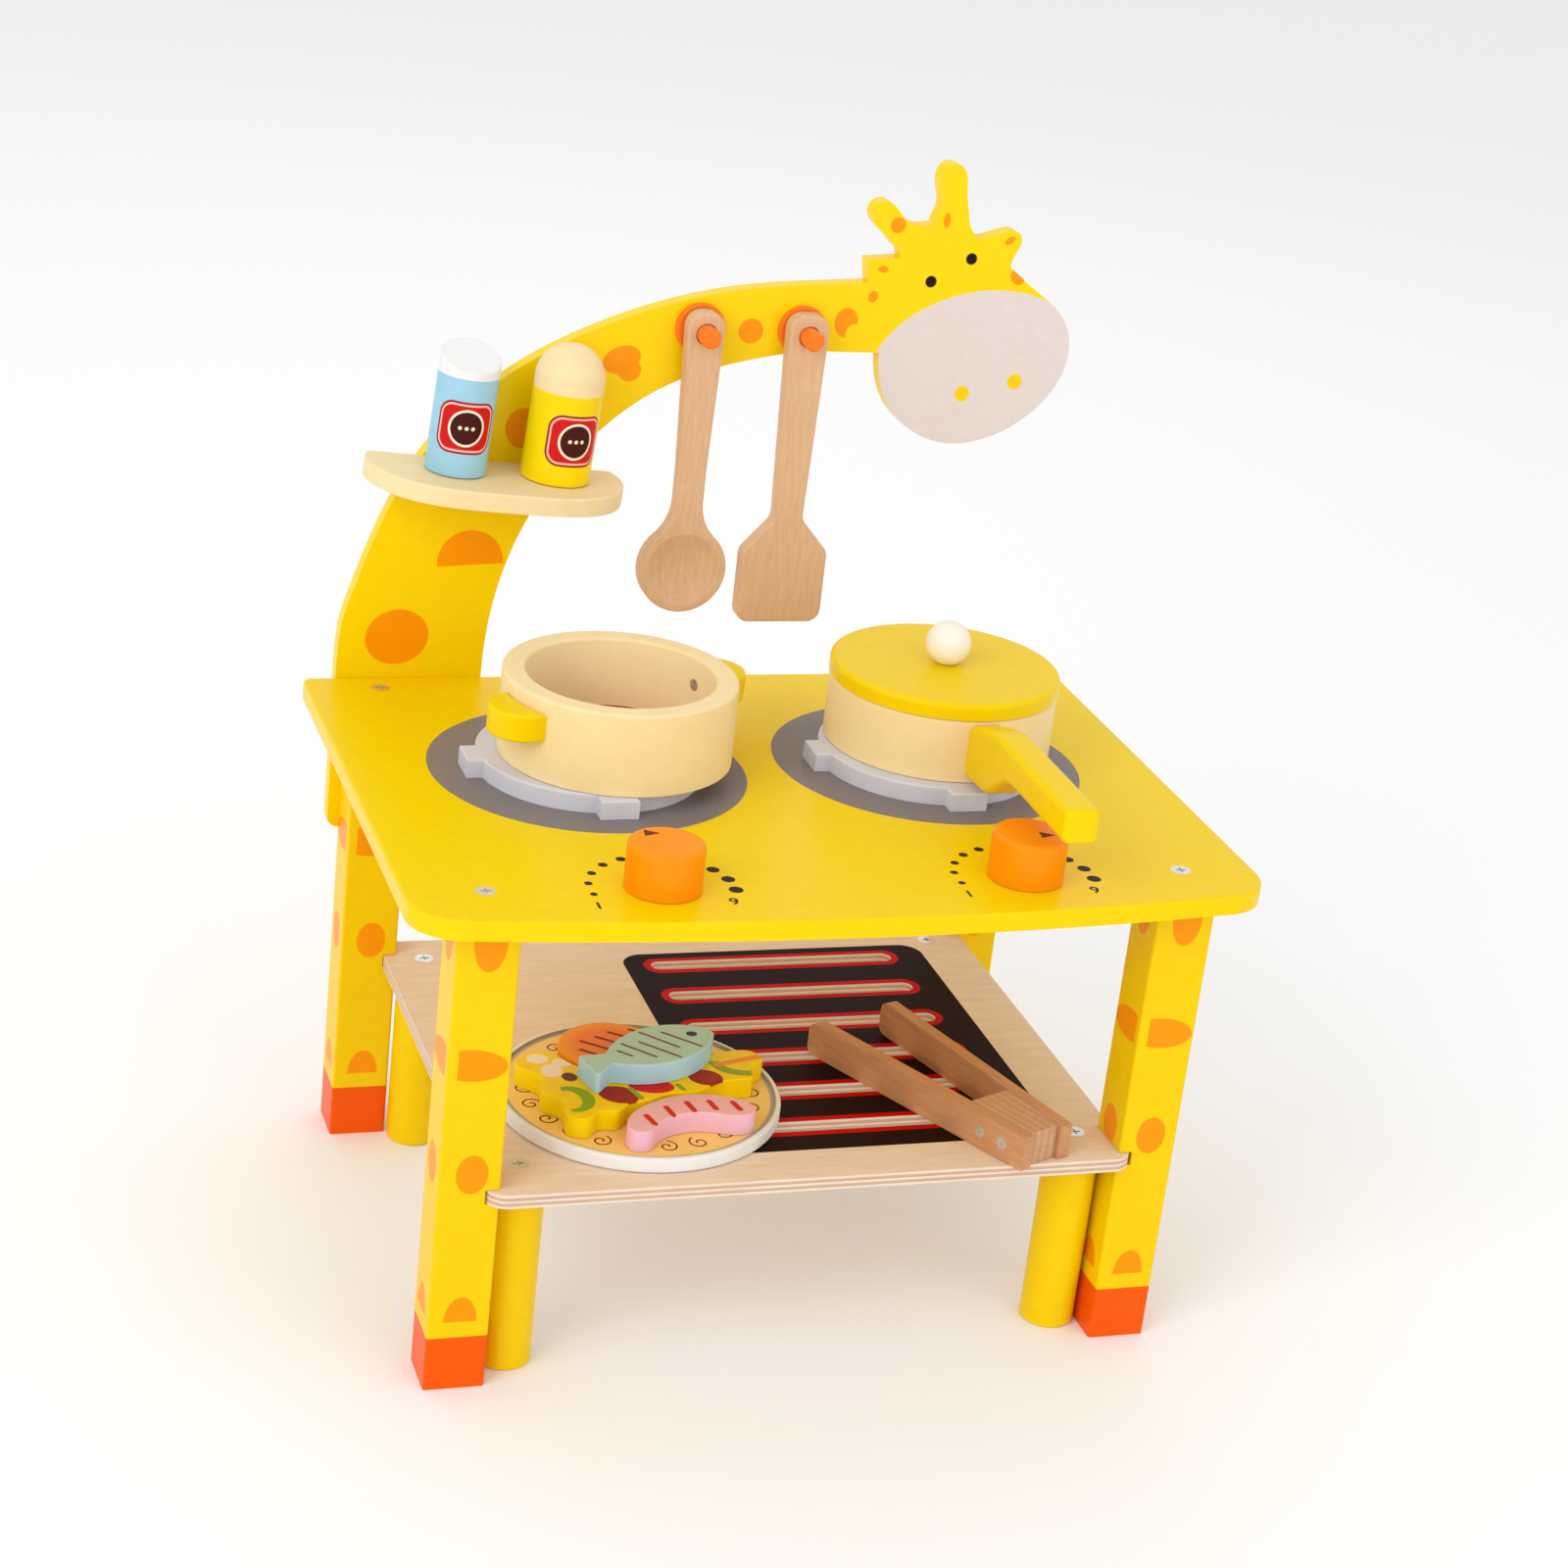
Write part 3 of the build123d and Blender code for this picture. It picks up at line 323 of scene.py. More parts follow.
# Grill shelf: 6 mm birch plywood, clear lacquered, with a dark grill panel printed on top.
# Six slots are milled through the panel, and each has a red printed rim.
shelf_top = 89.5
shelf_bottom = 83.5
ply_layers = 5
panel_centre = (40.6, 0.3)
panel_half = (71.8, 91.5)
panel_corner = 10
slot_first_y = -71.75
slot_pitch = 30.3
slot_centre_x = 38.5
slot_half = (57.5, 4.2)
slot_rim = 3.4
rim_half = (slot_half[0] + slot_rim, slot_half[1] + slot_rim)
rim_margin = 5
print_depth = 0.05
print_blur = 0.25
sharp = 0.04


def plies(finish, low, high, layers):
    """Paint the edge of plywood: pale and dark layers with thin glue lines between them."""
    face_skin = 0.06
    two_layers = 2 * (high - low) / layers
    level = ((finish.z - low) * (1 / two_layers)).maths("FRACT")
    dark_layer = level.above(0.5, sharp)
    glue_line = level.maths("COMPARE", 0.5, 0.045)
    edge = finish.z.below(high - face_skin, sharp) & finish.z.above(low + face_skin, sharp)
    fibre = finish.noise(0.5, (12, 12, 1))
    finish.cover(edge * dark_layer * (0.35 + fibre * 0.6), tint(188, 146, 114))
    finish.cover(edge * glue_line * 0.5, tint(120, 84, 62))


shelf = Finish("birch_plywood", tint(244, 226, 208))
veneer = shelf.noise(2.6, (26, 1, 1), detail=3.0)
figure = shelf.noise(16, (5, 1, 1), detail=2.0)
pores = shelf.noise(0.8, (9, 1, 1), detail=1.0).above(0.66, 0.06)
shelf.cover((veneer * 0.6 + figure * 0.6 - 0.3) | 0.0, tint(216, 184, 156))
shelf.cover(pores * 0.2, tint(180, 140, 108))
plies(shelf, shelf_bottom, shelf_top, ply_layers)
on_top = shelf.z.above(shelf_top - print_depth, sharp)
panel_x = shelf.x - panel_centre[0]
panel_y = shelf.y - panel_centre[1]
print_edge = shelf.panel(panel_x, panel_y, panel_half, panel_corner)
shelf.cover(on_top & print_edge.below(panel_corner, print_blur), tint(34, 13, 9))
slot_y = (shelf.y - slot_first_y).maths("WRAP", slot_pitch / 2, -slot_pitch / 2)
rim_edge = shelf.panel(shelf.x - slot_centre_x, slot_y, rim_half, rim_half[1])
in_print = abs(panel_y).below(panel_half[1] - rim_margin)
shelf.cover(on_top & rim_edge.below(rim_half[1], print_blur) & in_print, tint(196, 6, 6))
shelf.relief(veneer * 0.35 - pores * 0.4)
shelf.roughness = 0.55 + 0.14 * veneer
dress("grill_shelf", shelf.done())

# Screws: zinc-plated countersunk screws with a cross recess, their heads level with the wood.
# They hold the tabletop, the shelves, the giraffe board, the cookware and the tongs.
steel = Finish("zinc_plated_steel", tint(232, 232, 230), metallic=1.0)
brushing = steel.noise(0.4, (1, 1, 1), detail=3.0)
tarnish = steel.noise(3.0)
steel.cover(tarnish * 0.3, tint(170, 166, 158))
steel.roughness = 0.24 + 0.24 * brushing
steel.relief(brushing)
steel_finish = steel.done()
screw_groups = ("tabletop_screws", "shelf_screws", "board_leg_screws", "board_top_screws")
screw_groups += ("spice_shelf_screws", "pot_screws", "pan_screws", "lid_screw")
screw_groups += ("tongs_screws_left", "tongs_screws_right")
for group in screw_groups:
    dress(group, steel_finish)

# Tabletop: an 8 mm board with a bowed front edge, sprayed gloss yellow on all sides.
# Two grey burner discs are printed on it, and a dial of dots with plain numbers round each knob.
top_z = 213.0
burner_x = 75
burner_y = 19.25
burner_radius = 66.7
knob_y = -98.55
yellow_shade = tint(214, 170, 20)
table = Finish("tabletop_paint", tint(245, 211, 0), coat=0.04)
from_burner = (abs(table.x) - burner_x).distance(table.y - burner_y)
burner = from_burner.below(burner_radius, print_blur)
table.cover(burner & table.z.above(top_z - print_depth, sharp), tint(132, 124, 124))
age_paint(table, gloss=0.2, shade=yellow_shade)
dress("tabletop", table.done())


def new_tree(name, sockets):
    """A Geometry Nodes tree with named inputs, given as (name, kind, value)."""
    tree = bpy.data.node_groups.new(name, "GeometryNodeTree")
    tree.is_modifier = True
    tree.interface.new_socket("Geometry", in_out="OUTPUT", socket_type="NodeSocketGeometry")
    for label, kind, value in sockets:
        socket = tree.interface.new_socket(label, in_out="INPUT", socket_type="NodeSocket" + kind)
        if value is not None:
            socket.default_value = value
    return tree


def add(tree, kind, inputs={}, settings={}):
    """Add one geometry node, its settings first; a node or a socket as an input is linked."""
    node = tree.nodes.new(kind)
    for name, value in settings.items():
        setattr(node, name, value)
    for key, value in inputs.items():
        if isinstance(value, bpy.types.Node):
            tree.links.new(value.outputs[0], node.inputs[key])
        elif isinstance(value, bpy.types.NodeSocket):
            tree.links.new(value, node.inputs[key])
        else:
            node.inputs[key].default_value = value
    return node


def plain_mesh(maker):
    """The mesh that an object makes, after which the object is taken away."""
    made = maker.evaluated_get(bpy.context.evaluated_depsgraph_get())
    mesh = bpy.data.meshes.new_from_object(made)
    bpy.data.objects.remove(maker)
    return mesh


def grow(tree, values, name, place):
    """Run a tree once and keep what it makes as a plain mesh at its place."""
    maker = put_in_scene(name + "_maker", bpy.data.meshes.new(name + "_maker"))
    modifier = maker.modifiers.new("grow", "NODES")
    modifier.node_group = tree
    for item in tree.interface.items_tree:
        if item.in_out == "INPUT" and item.name in values:
            modifier[item.identifier] = values[item.name]
    mesh = plain_mesh(maker)
    mesh.transform(place)
    return put_in_scene(name, mesh)


ink = Finish("dial_ink", tint(38, 28, 22), roughness=0.45)
ink.cover(ink.noise(2.0) * 0.3, tint(62, 48, 36))
dial_ink = ink.done()

dial_sockets = [
    ("Dots", "Int", 11),
    ("Ring radius", "Float", 28.6 * MM),
    ("Start", "Float", radians(188)),
    ("Sweep", "Float", radians(-196)),
    ("First dot", "Float", 1.5 * MM),
    ("Last dot", "Float", 2.9 * MM),
    ("Ink depth", "Float", 0.1 * MM),
    ("Ink", "Material", None),
]
dial = new_tree("dial_dots", dial_sockets)
given = add(dial, "NodeGroupInput").outputs
less_one = {0: given["Dots"], 1: 1.0}
last_index = add(dial, "ShaderNodeMath", less_one, {"operation": "SUBTRACT"})
arc_inputs = {
    "Resolution": given["Dots"],
    "Radius": given["Ring radius"],
    "Start Angle": given["Start"],
    "Sweep Angle": given["Sweep"],
}
arc = add(dial, "GeometryNodeCurveArc", arc_inputs, {"mode": "RADIUS"})
dot_inputs = {"Vertices": 28, "Radius": 1.0, "Depth": given["Ink depth"]}
dot = add(dial, "GeometryNodeMeshCylinder", dot_inputs)
growth = {
    "Value": add(dial, "GeometryNodeInputIndex"),
    "From Max": last_index,
    "To Min": given["First dot"],
    "To Max": given["Last dot"],
}
dot_radius = add(dial, "ShaderNodeMapRange", growth)
dot_scale = add(dial, "ShaderNodeCombineXYZ", {"X": dot_radius, "Y": dot_radius, "Z": 1.0})
dot_places = {"Points": arc, "Instance": dot, "Scale": dot_scale}
dots = add(dial, "GeometryNodeInstanceOnPoints", dot_places)
real_dots = add(dial, "GeometryNodeRealizeInstances", {"Geometry": dots})
inking = {"Geometry": real_dots, "Material": given["Ink"]}
inked = add(dial, "GeometryNodeSetMaterial", inking)
add(dial, "NodeGroupOutput", {"Geometry": inked})

for hand, side in sides.items():
    knob_place = Matrix.Translation(Vector((side * burner_x, knob_y, top_z)) * MM)
    marks = grow(dial, {"Ink": dial_ink}, "dial_dots_" + hand, knob_place)
    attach(marks, "stand")

numeral_height = 8
numeral_depth = 0.05
numeral_weight = 0.12
numeral_places = {"1": (-29, -14.5), "9": (24.5, -14.5)}
for hand, side in sides.items():
    for numeral, (across, back) in numeral_places.items():
        lettering = bpy.data.curves.new("numeral", "FONT")
        lettering.body = numeral
        lettering.size = numeral_height * MM
        lettering.extrude = numeral_depth * MM
        lettering.offset = numeral_weight * MM
        lettering.align_x = "CENTER"
        lettering.align_y = "CENTER"
        numeral_mesh = plain_mesh(put_in_scene("numeral", lettering))
        numeral_place = Vector((side * burner_x + across, knob_y + back, top_z)) * MM
        numeral_mesh.transform(Matrix.Translation(numeral_place))
        numeral_mesh.materials.clear()
        numeral_mesh.materials.append(dial_ink)
        numeral_piece = put_in_scene("numeral_" + hand + "_" + numeral, numeral_mesh)
        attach(numeral_piece, "stand")

# Trivets: rings with four lugs, cut from 8 mm board and sprayed light grey on all sides.
# Each is glued on the middle of its burner disc.
trivet = Finish("trivet_paint", tint(216, 216, 224), coat=0.05)
age_paint(trivet, gloss=0.34, shade=tint(150, 148, 160))
trivet_paint = trivet.done()
for hand in sides:
    dress("trivet_" + hand, trivet_paint)

# Knobs: turned beech in orange gloss, each with a dark printed pointer on its top face.
# The dowel below and the disc that holds it are bare beech.
knob_top = 232.3
pointer_length = 6.4
pointer_width = 6.0
pointer_depth = 0.08
pointers = {"left": (-6.8, 8.8, -8), "right": (2.9, -2.6, -6)}
for hand, side in sides.items():
    knob = Finish("knob_paint_" + hand, tint(250, 150, 8), coat=0.08)
    tail_x, tail_y, turn = pointers[hand]
    tail = (side * burner_x + tail_x, knob_y + tail_y, 0)
    along, beside = knob.split(knob.local(tail, (0, 0, radians(turn))))[:2]
    narrowing = abs(beside) * (2 * pointer_length / pointer_width) + along
    pointer = along.above(0.0) & narrowing.below(pointer_length)
    knob.cover(pointer & knob.z.above(knob_top - pointer_depth, 0.05), tint(110, 26, 0))
    age_paint(knob, gloss=0.24, shade=tint(236, 112, 0))
    dress("knob_" + hand, knob.done())


def bare_wood(name, pale, dark, turn, fleck=0.35):
    """Clear-lacquered beech: straight streaks and short dark flecks along the grain."""
    wood = Finish(name, pale, coat=0.10)
    streak = wood.noise(1.5, (34, 1, 1), detail=3.0, turn=turn)
    broad = wood.noise(9, (9, 1, 1), detail=1.0, turn=turn)
    flecks = wood.noise(0.55, (7, 1, 1), detail=1.0, turn=turn).above(0.63, 0.05)
    wood.cover((streak * 0.7 + broad * 0.7 - 0.3) | 0.0, dark)
    wood.cover(flecks * fleck, tint(126, 78, 44))
    wood.relief(streak * 0.3 - flecks * 0.5)
    wood.roughness = 0.40 + 0.18 * streak
    return wood


grain_upright = (0, radians(90), 0)
dowel = bare_wood("dowel_beech", tint(214, 170, 124), tint(176, 128, 84), grain_upright)
dowel_finish = dowel.done()
for hand in sides:
    dress("knob_spindle_" + hand, dowel_finish)
    dress("knob_retainer_" + hand, dowel_finish)

# Giraffe board: base, neck and head sawn from one 8 mm board and sprayed gloss yellow.
# Spots, eyes and the pale muzzle are printed on the front; the back is plain.
board_front = 124.25
front_skin = 0.25
giraffe = Finish("giraffe_paint", tint(250, 216, 0), coat=0.08)
on_board_front = giraffe.y.below(board_front + front_skin, 0.1)


def board_spot(x, z, across, high, turn=0.0):
    """A spot on the board's front: its centre, its half sizes and its tilt in degrees."""
    return giraffe.spot((x, board_front, z), (across, through, high), (0, radians(-turn), 0))


half_dome = board_spot(-105.6, 266.2, 14.6, 14.6)
half_dome = half_dome & (giraffe.z - 0.06 * giraffe.x).above(271.2)
crescent = board_spot(54.0, 377.2, 5.4, 6.6) & (1.0 - board_spot(58.6, 372.0, 4.4, 4.6))
neck_spots = [
    (10.8, 372.3, 5.6, 5.6),
    (-135.6, 231.7, 14, 12.6, 12),
    (-45.8, 358.2, 8.6, 6.0, 20),
    (-42.0, 353.6, 5.2, 5.0),
    (-86.6, 327, 8, 9),
    (-72, 331, 6, 4),
]
head_spots = [
    (72.6, 421, 3.5, 3.5),
    (94.9, 424, 1.6, 3.4),
    (125.7, 416, 2.6, 1.5, 35),
    (68.2, 401.4, 2.4, 1.5),
    (65, 389.1, 2.2, 2.7, -20),
    (131.4, 399.6, 3.8, 2.8, -40),
]
spots = half_dome | crescent
for measures in neck_spots + head_spots:
    spots = spots | board_spot(*measures)
muzzle = board_spot(116.9, 357.9, 50.6, 34.9, 12) | (giraffe.z.below(356) & giraffe.x.above(66))
nostrils = board_spot(112.3, 346.2, 3.5, 3.5) | board_spot(136.8, 352.2, 3.5, 3.5)
eyes = board_spot(91, 396.6, 2.6, 2.6) | board_spot(108.6, 407.3, 2.6, 2.6)
giraffe.cover(on_board_front & spots, orange_spot)
giraffe.cover(on_board_front & muzzle, tint(224, 214, 214))
giraffe.cover(on_board_front & nostrils, yellow)
giraffe.cover(on_board_front & eyes, tint(30, 4, 8))
age_paint(giraffe, gloss=0.22, shade=yellow_shade)
dress("giraffe_board", giraffe.done())

# Spice shelf: a half-oval board in satin cream paint. It stands out from the front of the neck
# and is screwed to it from behind.
shelf_cream = Finish("cream_paint", tint(244, 222, 172), coat=0.05)
age_paint(shelf_cream, gloss=0.36, shade=tint(206, 168, 108))
cream_paint = shelf_cream.done()
dress("spice_shelf", cream_paint)

# Pegs: beech turned in one piece with round collars and painted gloss orange.
# They are glued into the neck, and the tools hang on them.
peg = Finish("peg_paint", tint(252, 128, 34), coat=0.08)
age_paint(peg, gloss=0.26, shade=tint(214, 84, 14))
peg_paint = peg.done()
for hand in sides:
    dress("peg_" + hand, peg_paint)

# Spoon and spatula: sawn from light beech with the grain upright, sanded and lacquered.
# A hole near the top of each handle hangs it on its peg.
tool = bare_wood("tool_beech", tint(230, 192, 154), tint(202, 158, 116), grain_upright, 0.25)
tool_finish = tool.done()
for node in ("spoon", "spatula"):
    dress(node, tool_finish)

# Shakers: turned bodies in blue and yellow with glued caps. Each has a red label with a round
# badge, kept plain, which is wrapped on the side that faces the front.
shelf_tilt = radians(4.3)
white_part = Finish("white_paint", tint(238, 237, 236), coat=0.05)
age_paint(white_part, gloss=0.34, shade=tint(200, 196, 188))
white_paint = white_part.done()
label_half = (13.2, 11.2)
label_corner = 6.5
label_insets = {0.0: tint(150, 14, 14), 0.9: tint(246, 188, 176), 1.8: tint(208, 24, 20)}
badge_radii = {8.0: tint(250, 240, 214), 7.0: tint(70, 18, 12)}
badge_dots = (-2.8, 0.0, 2.8)
badge_dot_size = 0.7
# For each shaker: the middle of its foot, its radius, its paint, its shade, the way its label
# faces in degrees, and the label's height.
shakers = {
    "blue": ((-119.6, 106.25, 313.9), 13, tint(160, 206, 226), tint(120, 178, 200), -4, 21.8),
    "yellow": ((-75.8, 107.65, 310.6), 15, tint(250, 218, 0), yellow_shade, 11, 20.3),
}
for name, (foot, radius, colour, shade, facing, label_height) in shakers.items():
    body = Finish("shaker_paint_" + name, colour, coat=0.08)
    across, back, height = body.split(body.local(foot, (0, shelf_tilt, 0)))
    front = 0.0 - back
    wrap = across.maths("ARCTAN2", front) * radius - radians(facing) * radius
    rise = height - label_height
    label_edge = body.panel(wrap, rise, label_half, label_corner)
    badge_edge = wrap.distance(rise)
    for inset, paint in label_insets.items():
        body.cover(label_edge.below(label_corner - inset, 0.2), paint)
    for badge_radius, paint in badge_radii.items():
        body.cover(badge_edge.below(badge_radius, 0.2), paint)
    for dot_place in badge_dots:
        beside = wrap - dot_place
        dot_edge = beside * beside + rise * rise
        body.cover(dot_edge.below(badge_dot_size, 0.4), tint(250, 236, 200))
    age_paint(body, shade=shade)
    dress("shaker_" + name + "_body", body.done())
dress("shaker_blue_cap", white_paint)
dress("shaker_yellow_cap", cream_paint)

# Pot and saucepan: turned rings with a round bottom board, painted cream, and yellow handles held
# by screws from inside. The pot has a paler coat in its bore and a brown disc printed on its
# bottom.
pot_middle = (-64.7, 17.75, 226)
pale_coat_top = 255
cookware_cream = tint(246, 224, 172)
cookware_shade = tint(214, 178, 116)
ring_cream = Finish("cookware_cream", cookware_cream, coat=0.05)
age_paint(ring_cream, gloss=0.34, shade=cookware_shade)
ring_paint = ring_cream.done()
for node in ("pan_body", "pan_base", "lid_spigot"):
    dress(node, ring_paint)
pot_ring = Finish("pot_ring_paint", cookware_cream, coat=0.05)
bore = pot_ring.spot(pot_middle, (39.6, 39.6, through), soft=0.2)
pot_ring.cover(bore & pot_ring.z.below(pale_coat_top, 1.5), tint(255, 238, 184))
age_paint(pot_ring, gloss=0.34, shade=cookware_shade)
dress("pot_body", pot_ring.done())
soup = Finish("pot_bottom_print", cookware_cream, coat=0.06)
soup.cover(soup.spot(pot_middle, (39, 39, through), soft=0.4), tint(170, 60, 24))
age_paint(soup)
dress("pot_base", soup.done())
handle = Finish("handle_yellow", tint(243, 210, 0), coat=0.03)
age_paint(handle, gloss=0.24, shade=yellow_shade)
handle_paint = handle.done()
for node in ("pot_handle_left", "pot_handle_right", "pan_handle"):
    dress(node, handle_paint)

# Lid: a gloss yellow disc with a cream spigot below, which drops into the saucepan.
# A white ball is screwed on from below as its knob.
dress("lid_disc", handle_paint)
ball = Finish("ball_white", tint(246, 240, 226), coat=0.08)
age_paint(ball, gloss=0.26, shade=tint(214, 200, 170))
dress("lid_ball", ball.done())

# Plate: a turned disc with a white rim. Inside it are a grey line and a yellow face with a ring
# of thin brown scrolls.
plate_centre = (-59.4, -44.65)
plate_radius = 59.5
grey_line_inset = 2.0
yellow_inset = 4.4
face_height = 95.3
face_skin = 1.5
plate = Finish("plate_paint", tint(240, 240, 240), coat=0.12)
reach = (plate.x - plate_centre[0]).distance(plate.y - plate_centre[1])
on_face = plate.z.above(face_height - face_skin, 0.1)
plate.cover(on_face & reach.below(plate_radius - grey_line_inset, 0.2), tint(184, 180, 178))
yellow_face = on_face & reach.below(plate_radius - yellow_inset, 0.3)
plate.cover(yellow_face, tint(255, 222, 144))
outer_glow = reach.above(20, 40)
plate.cover(yellow_face * outer_glow * 0.25, tint(252, 196, 84))
age_paint(plate, gloss=0.34, shade=tint(206, 180, 140))
dress("plate", plate.done())

scroll_sockets = [
    ("Scrolls", "Int", 11),
    ("Ring radius", "Float", 47.0 * MM),
    ("Curl", "Float", 4.5 * MM),
    ("Line width", "Float", 0.7 * MM),
    ("Line depth", "Float", 0.12 * MM),
    ("Ink", "Material", None),
]
scrolls = new_tree("plate_scrolls", scroll_sockets)
given = add(scrolls, "NodeGroupInput").outputs
ring_inputs = {"Vertices": given["Scrolls"], "Radius": given["Ring radius"]}
ring = add(scrolls, "GeometryNodeMeshCircle", ring_inputs)
from_middle = {"Vector": add(scrolls, "GeometryNodeInputPosition")}
facing_out = add(scrolls, "FunctionNodeAlignRotationToVector", from_middle, {"axis": "Y"})
line_size = {"Width": given["Line width"], "Height": given["Line depth"]}
section = add(scrolls, "GeometryNodeCurvePrimitiveQuadrilateral", line_size)
both_curls = add(scrolls, "GeometryNodeJoinGeometry")
times = {"operation": "MULTIPLY"}
half_gap = add(scrolls, "ShaderNodeMath", {0: given["Curl"], 1: 1.45}, times)
for way, turn in {1.0: 20, -1.0: 160}.items():
    curl_inputs = {
        "Resolution": 20,
        "Rotations": 1.3,
        "Start Radius": 0.6 * MM,
        "End Radius": given["Curl"],
        "Height": 0.0,
        "Reverse": way < 0,
    }
    curl = add(scrolls, "GeometryNodeCurveSpiral", curl_inputs)
    step = add(scrolls, "ShaderNodeMath", {0: half_gap, 1: way}, times)
    offset = add(scrolls, "ShaderNodeCombineXYZ", {"X": step})
    move = {"Geometry": curl, "Translation": offset, "Rotation": (0, 0, radians(turn))}
    moved = add(scrolls, "GeometryNodeTransform", move)
    scrolls.links.new(moved.outputs[0], both_curls.inputs[0])
drawing = {"Curve": both_curls, "Profile Curve": section, "Fill Caps": True}
ribbon = add(scrolls, "GeometryNodeCurveToMesh", drawing)
scroll_places = {"Points": ring, "Instance": ribbon, "Rotation": facing_out}
spread_out = add(scrolls, "GeometryNodeInstanceOnPoints", scroll_places)
real_scrolls = add(scrolls, "GeometryNodeRealizeInstances", {"Geometry": spread_out})
inking = {"Geometry": real_scrolls, "Material": given["Ink"]}
inked = add(scrolls, "GeometryNodeSetMaterial", inking)
add(scrolls, "NodeGroupOutput", {"Geometry": inked})
scroll_ink = Finish("scroll_ink", tint(120, 62, 14))
scroll_ink.cover(scroll_ink.noise(3.0) * 0.4, tint(110, 62, 20))
plate_place = Matrix.Translation(Vector((*plate_centre, face_height)) * MM)
scroll_ring = grow(scrolls, {"Ink": scroll_ink.done()}, "plate_scroll_ring", plate_place)
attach(scroll_ring, "plate")

# Omelette: a scalloped board in gloss yellow that lies loose on the plate, printed on top with
# greens, peppers and a pale slice at its left end.
food_top = 104.6
omelette_skin = 0.9
print_skin = 0.7


def food_spot(x, y, across, back, turn=0.0):
    """A spot on the omelette's top: its centre, its half sizes and its turn in degrees."""
    return omelette.spot((x, y, food_top), (across, back, through), (0, 0, radians(turn)))


def print_lines(finish, face, lines, width, colour):
    """Print lines on a top face, each given by its two ends."""
    for start, end in lines:
        finish.cover(face & finish.stroke(start, end, width), colour)


omelette = Finish("omelette_paint", tint(253, 224, 0), coat=0.05)
upper_face = omelette.z.above(food_top - omelette_skin, 0.3)
omelette.cover(omelette.noise(18).above(0.5, 0.3) * 0.15, tint(244, 176, 10))
pepper = food_spot(-58.2, -58.6, 9.5, 6.0, -12)
tomatoes = food_spot(-73.4, -64.4, 8.6, 7.0, -30) | food_spot(-33.6, -53.6, 7.4, 6.6, -35)
mushroom = food_spot(-89.9, -47.5, 3.2, 3.8)
pale_slice = food_spot(-99.4, -30.8, 4.6, 4.0) | food_spot(-90, -35, 4.4, 3.4)
pale_slice = pale_slice | food_spot(-96, -41.5, 4.4, 5.8, -20)
ring_green = food_spot(-93.5, -66, 9.4, 10.8) & (1.0 - food_spot(-95, -66.5, 5.4, 7.6))
ring_green = ring_green & omelette.x.above(-96, 0.4)
bow_green = food_spot(-14.5, -40.5, 14.2, 13.4) & (1.0 - food_spot(-13, -39, 11.2, 10.6))
bow_green = bow_green & omelette.y.below(-40, 0.4)
green = tint(146, 178, 26)
omelette.cover(upper_face & pepper, tint(214, 26, 34))
omelette.cover(upper_face & tomatoes, tint(164, 46, 26))
omelette.cover(upper_face & mushroom, tint(110, 60, 24))
omelette.cover(upper_face & pale_slice, tint(250, 242, 232))
omelette.cover(upper_face & ring_green, green)
omelette.cover(upper_face & bow_green, green)
green_stalks = [((-67.6, -59), (-64.6, -69.3)), ((-47.3, -57.7), (-45.3, -63.8))]
print_lines(omelette, upper_face, green_stalks, 2.4, green)
print_lines(omelette, upper_face, [((-27.2, -43.4), (-4, -37.4))], 3.4, tint(247, 158, 10))
age_paint(omelette, gloss=0.32, shade=tint(226, 150, 10))
dress("omelette", omelette.done())

# Steak: a round board in gloss orange that lies loose on the plate behind the omelette.
# Five dark grill lines are printed on its top.
steak = Finish("steak_paint", tint(250, 136, 0), coat=0.05)
steak_middle = steak.spot((-66, -22.75, food_top), (17, 17, through), soft=2.5)
steak.cover(1.0 - steak_middle, tint(252, 160, 0))
steak_lines = [
    ((-64.4, -9.8), (-57, -15.4)),
    ((-70.8, -13.3), (-62, -20.6)),
    ((-78, -16.6), (-66, -26.5)),
    ((-80, -24), (-70, -32.5)),
    ((-55, -8), (-49, -13)),
]
steak_top = steak.z.above(food_top - print_skin, 0.2)
print_lines(steak, steak_top, steak_lines, 1.7, tint(130, 26, 6))
age_paint(steak, gloss=0.32, shade=tint(220, 90, 10))
dress("steak", steak.done())

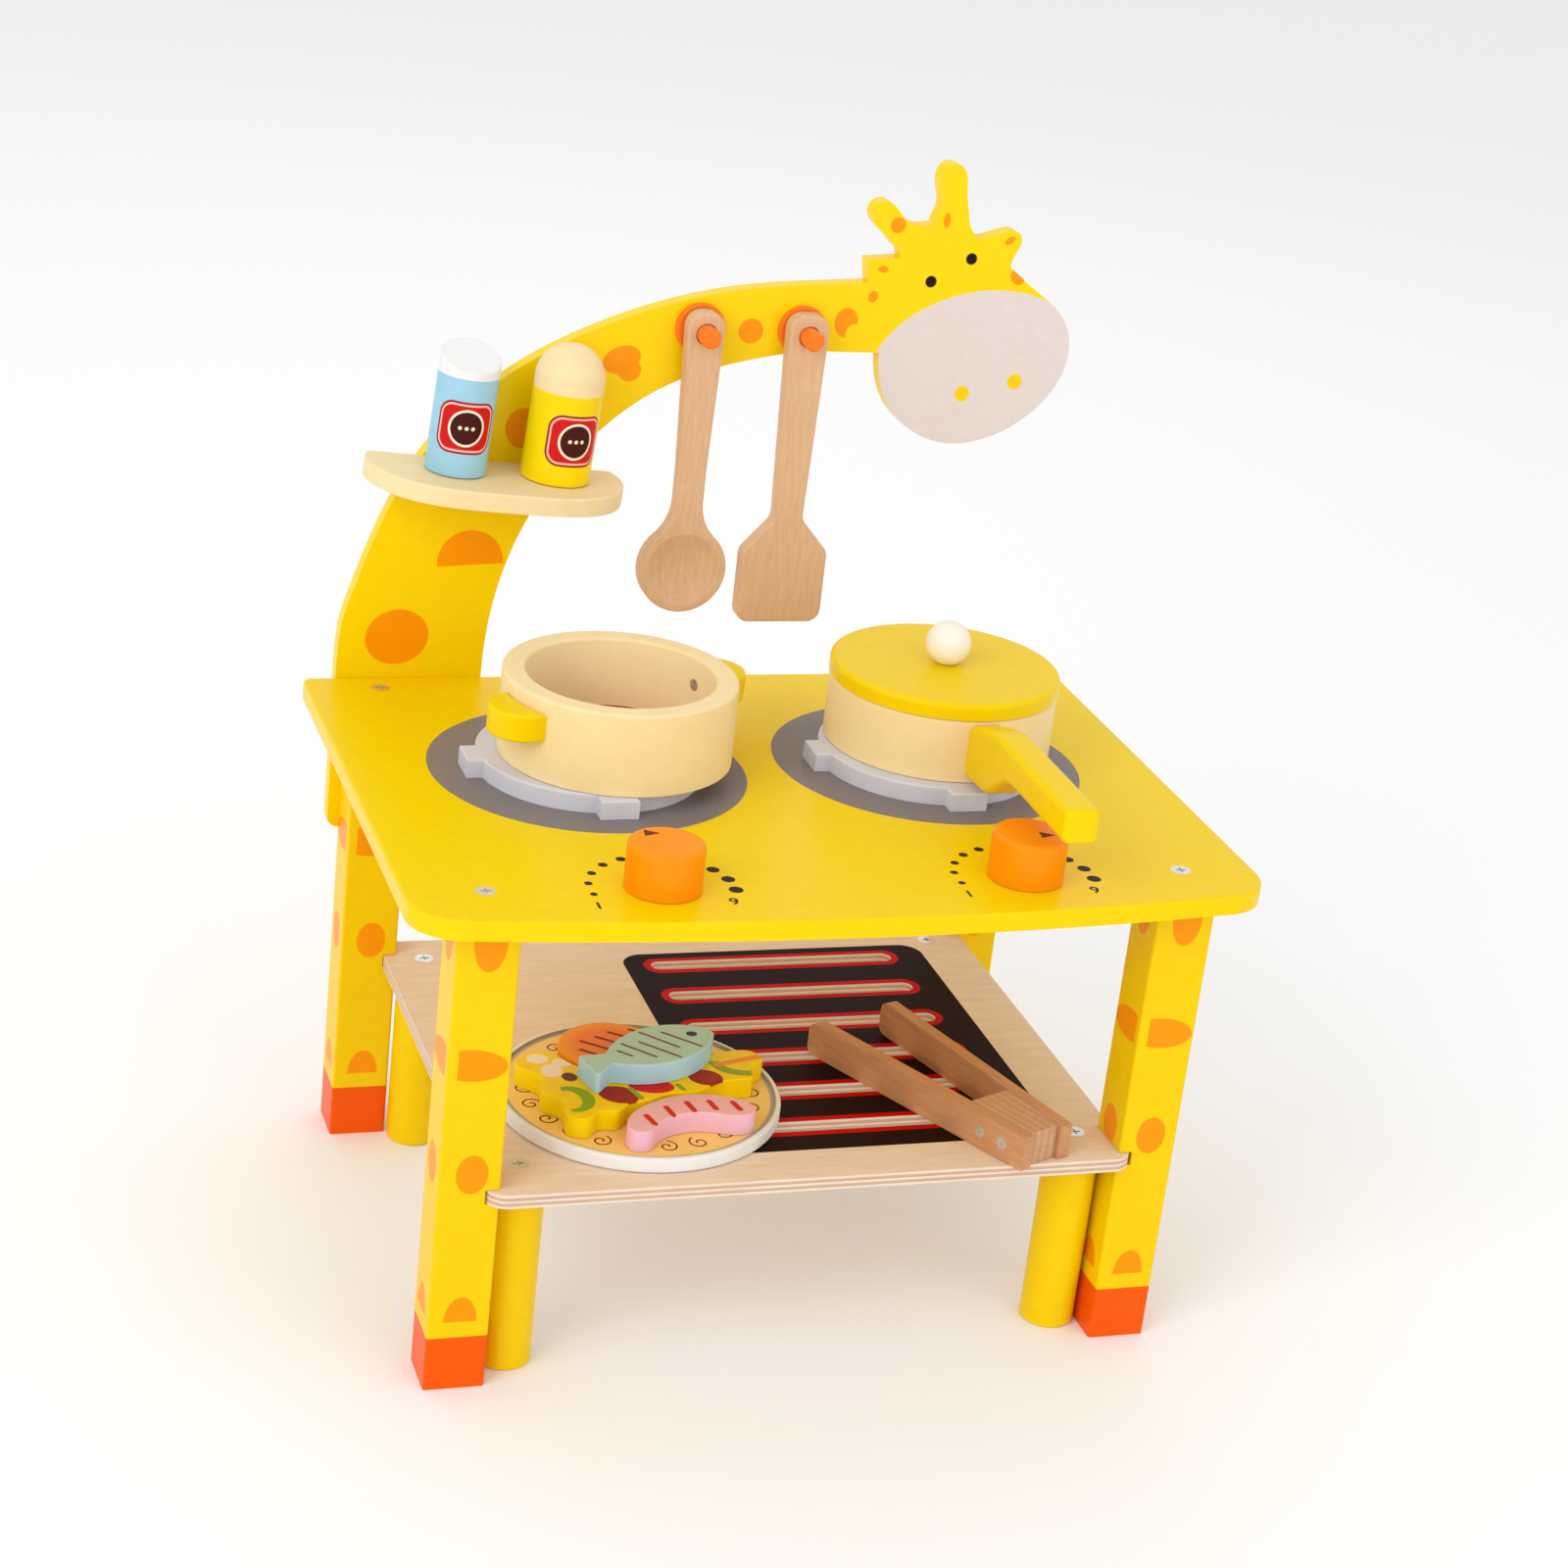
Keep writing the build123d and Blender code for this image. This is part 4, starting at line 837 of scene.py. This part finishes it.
# Sausage: a curved board in gloss pink that lies loose on the plate in front of the omelette.
# Five red cuts are printed on its top.
sausage = Finish("sausage_paint", tint(244, 192, 206), coat=0.08)
sausage_cuts = [
    ((-67.1, -81.4), (-64.9, -91)),
    ((-57.1, -75.4), (-55.6, -84.3)),
    ((-47.6, -72.4), (-45.9, -81.8)),
    ((-38.1, -72.4), (-36.6, -81.4)),
    ((-28.6, -74.2), (-26.8, -83)),
]
sausage_top = sausage.z.above(food_top - print_skin, 0.2)
print_lines(sausage, sausage_top, sausage_cuts, 2.6, tint(214, 40, 30))
age_paint(sausage, gloss=0.24, shade=tint(226, 138, 160))
dress("sausage", sausage.done())

# Fish: a flat board in gloss pale blue that lies on the omelette and the steak.
# Five brown grill lines and an eye are printed on its top.
fish_top = 113.9
fish = Finish("fish_paint", tint(182, 224, 236), coat=0.12)
fish_face = fish.z.above(fish_top - print_skin, 0.2)
# Painted light: the top face is painted paler and greener than the sides, for the light that
# falls on it.
fish.cover(fish_face * 0.3, tint(194, 230, 232))
fish_lines = [
    ((-56.6, -28.6), (-42.7, -43.9)),
    ((-47.1, -29.5), (-33, -44)),
    ((-58.9, -37.1), (-44.2, -52.5)),
    ((-66.7, -38.1), (-54.4, -51.5)),
    ((-69.9, -43.9), (-64.4, -49.6)),
]
print_lines(fish, fish_face, fish_lines, 1.3, tint(118, 42, 26))
fish_eye = fish.spot((-34.5, -32.4, fish_top), (2.4, 2.1, through))
fish.cover(fish_face & fish_eye, tint(24, 44, 50))
age_paint(fish, gloss=0.26, shade=tint(108, 160, 176))
dress("fish", fish.done())

# Tongs: two thin beech arms with rounded tips, screwed to a wedge-shaped block at the heel.
# The arms' grain runs along them, and year rings show on the block.
arm_turns = {"left": radians(117.3), "right": radians(107.7)}
for hand, turn in arm_turns.items():
    arm_name = "tongs_beech_" + hand
    arm = bare_wood(arm_name, tint(216, 160, 114), tint(182, 124, 80), (0, 0, turn))
    dress("tongs_arm_" + hand, arm.done())
block_turn = (0, 0, radians(22))
ring_turn = (0, 0, radians(25))
block_pale = tint(224, 182, 140)
block = bare_wood("tongs_block_beech", block_pale, tint(186, 136, 94), block_turn, fleck=0.5)
year_place = block.local((95, -110, 95), ring_turn, (5, 5, 5))
year_inputs = {"Vector": year_place, "Scale": 0.4, "Distortion": 1.5}
year_rings = block.node("ShaderNodeTexWave", {"bands_direction": "X"}, year_inputs, 1)
block.cover(year_rings * 0.6, tint(186, 134, 94))
dress("tongs_block", block.done())
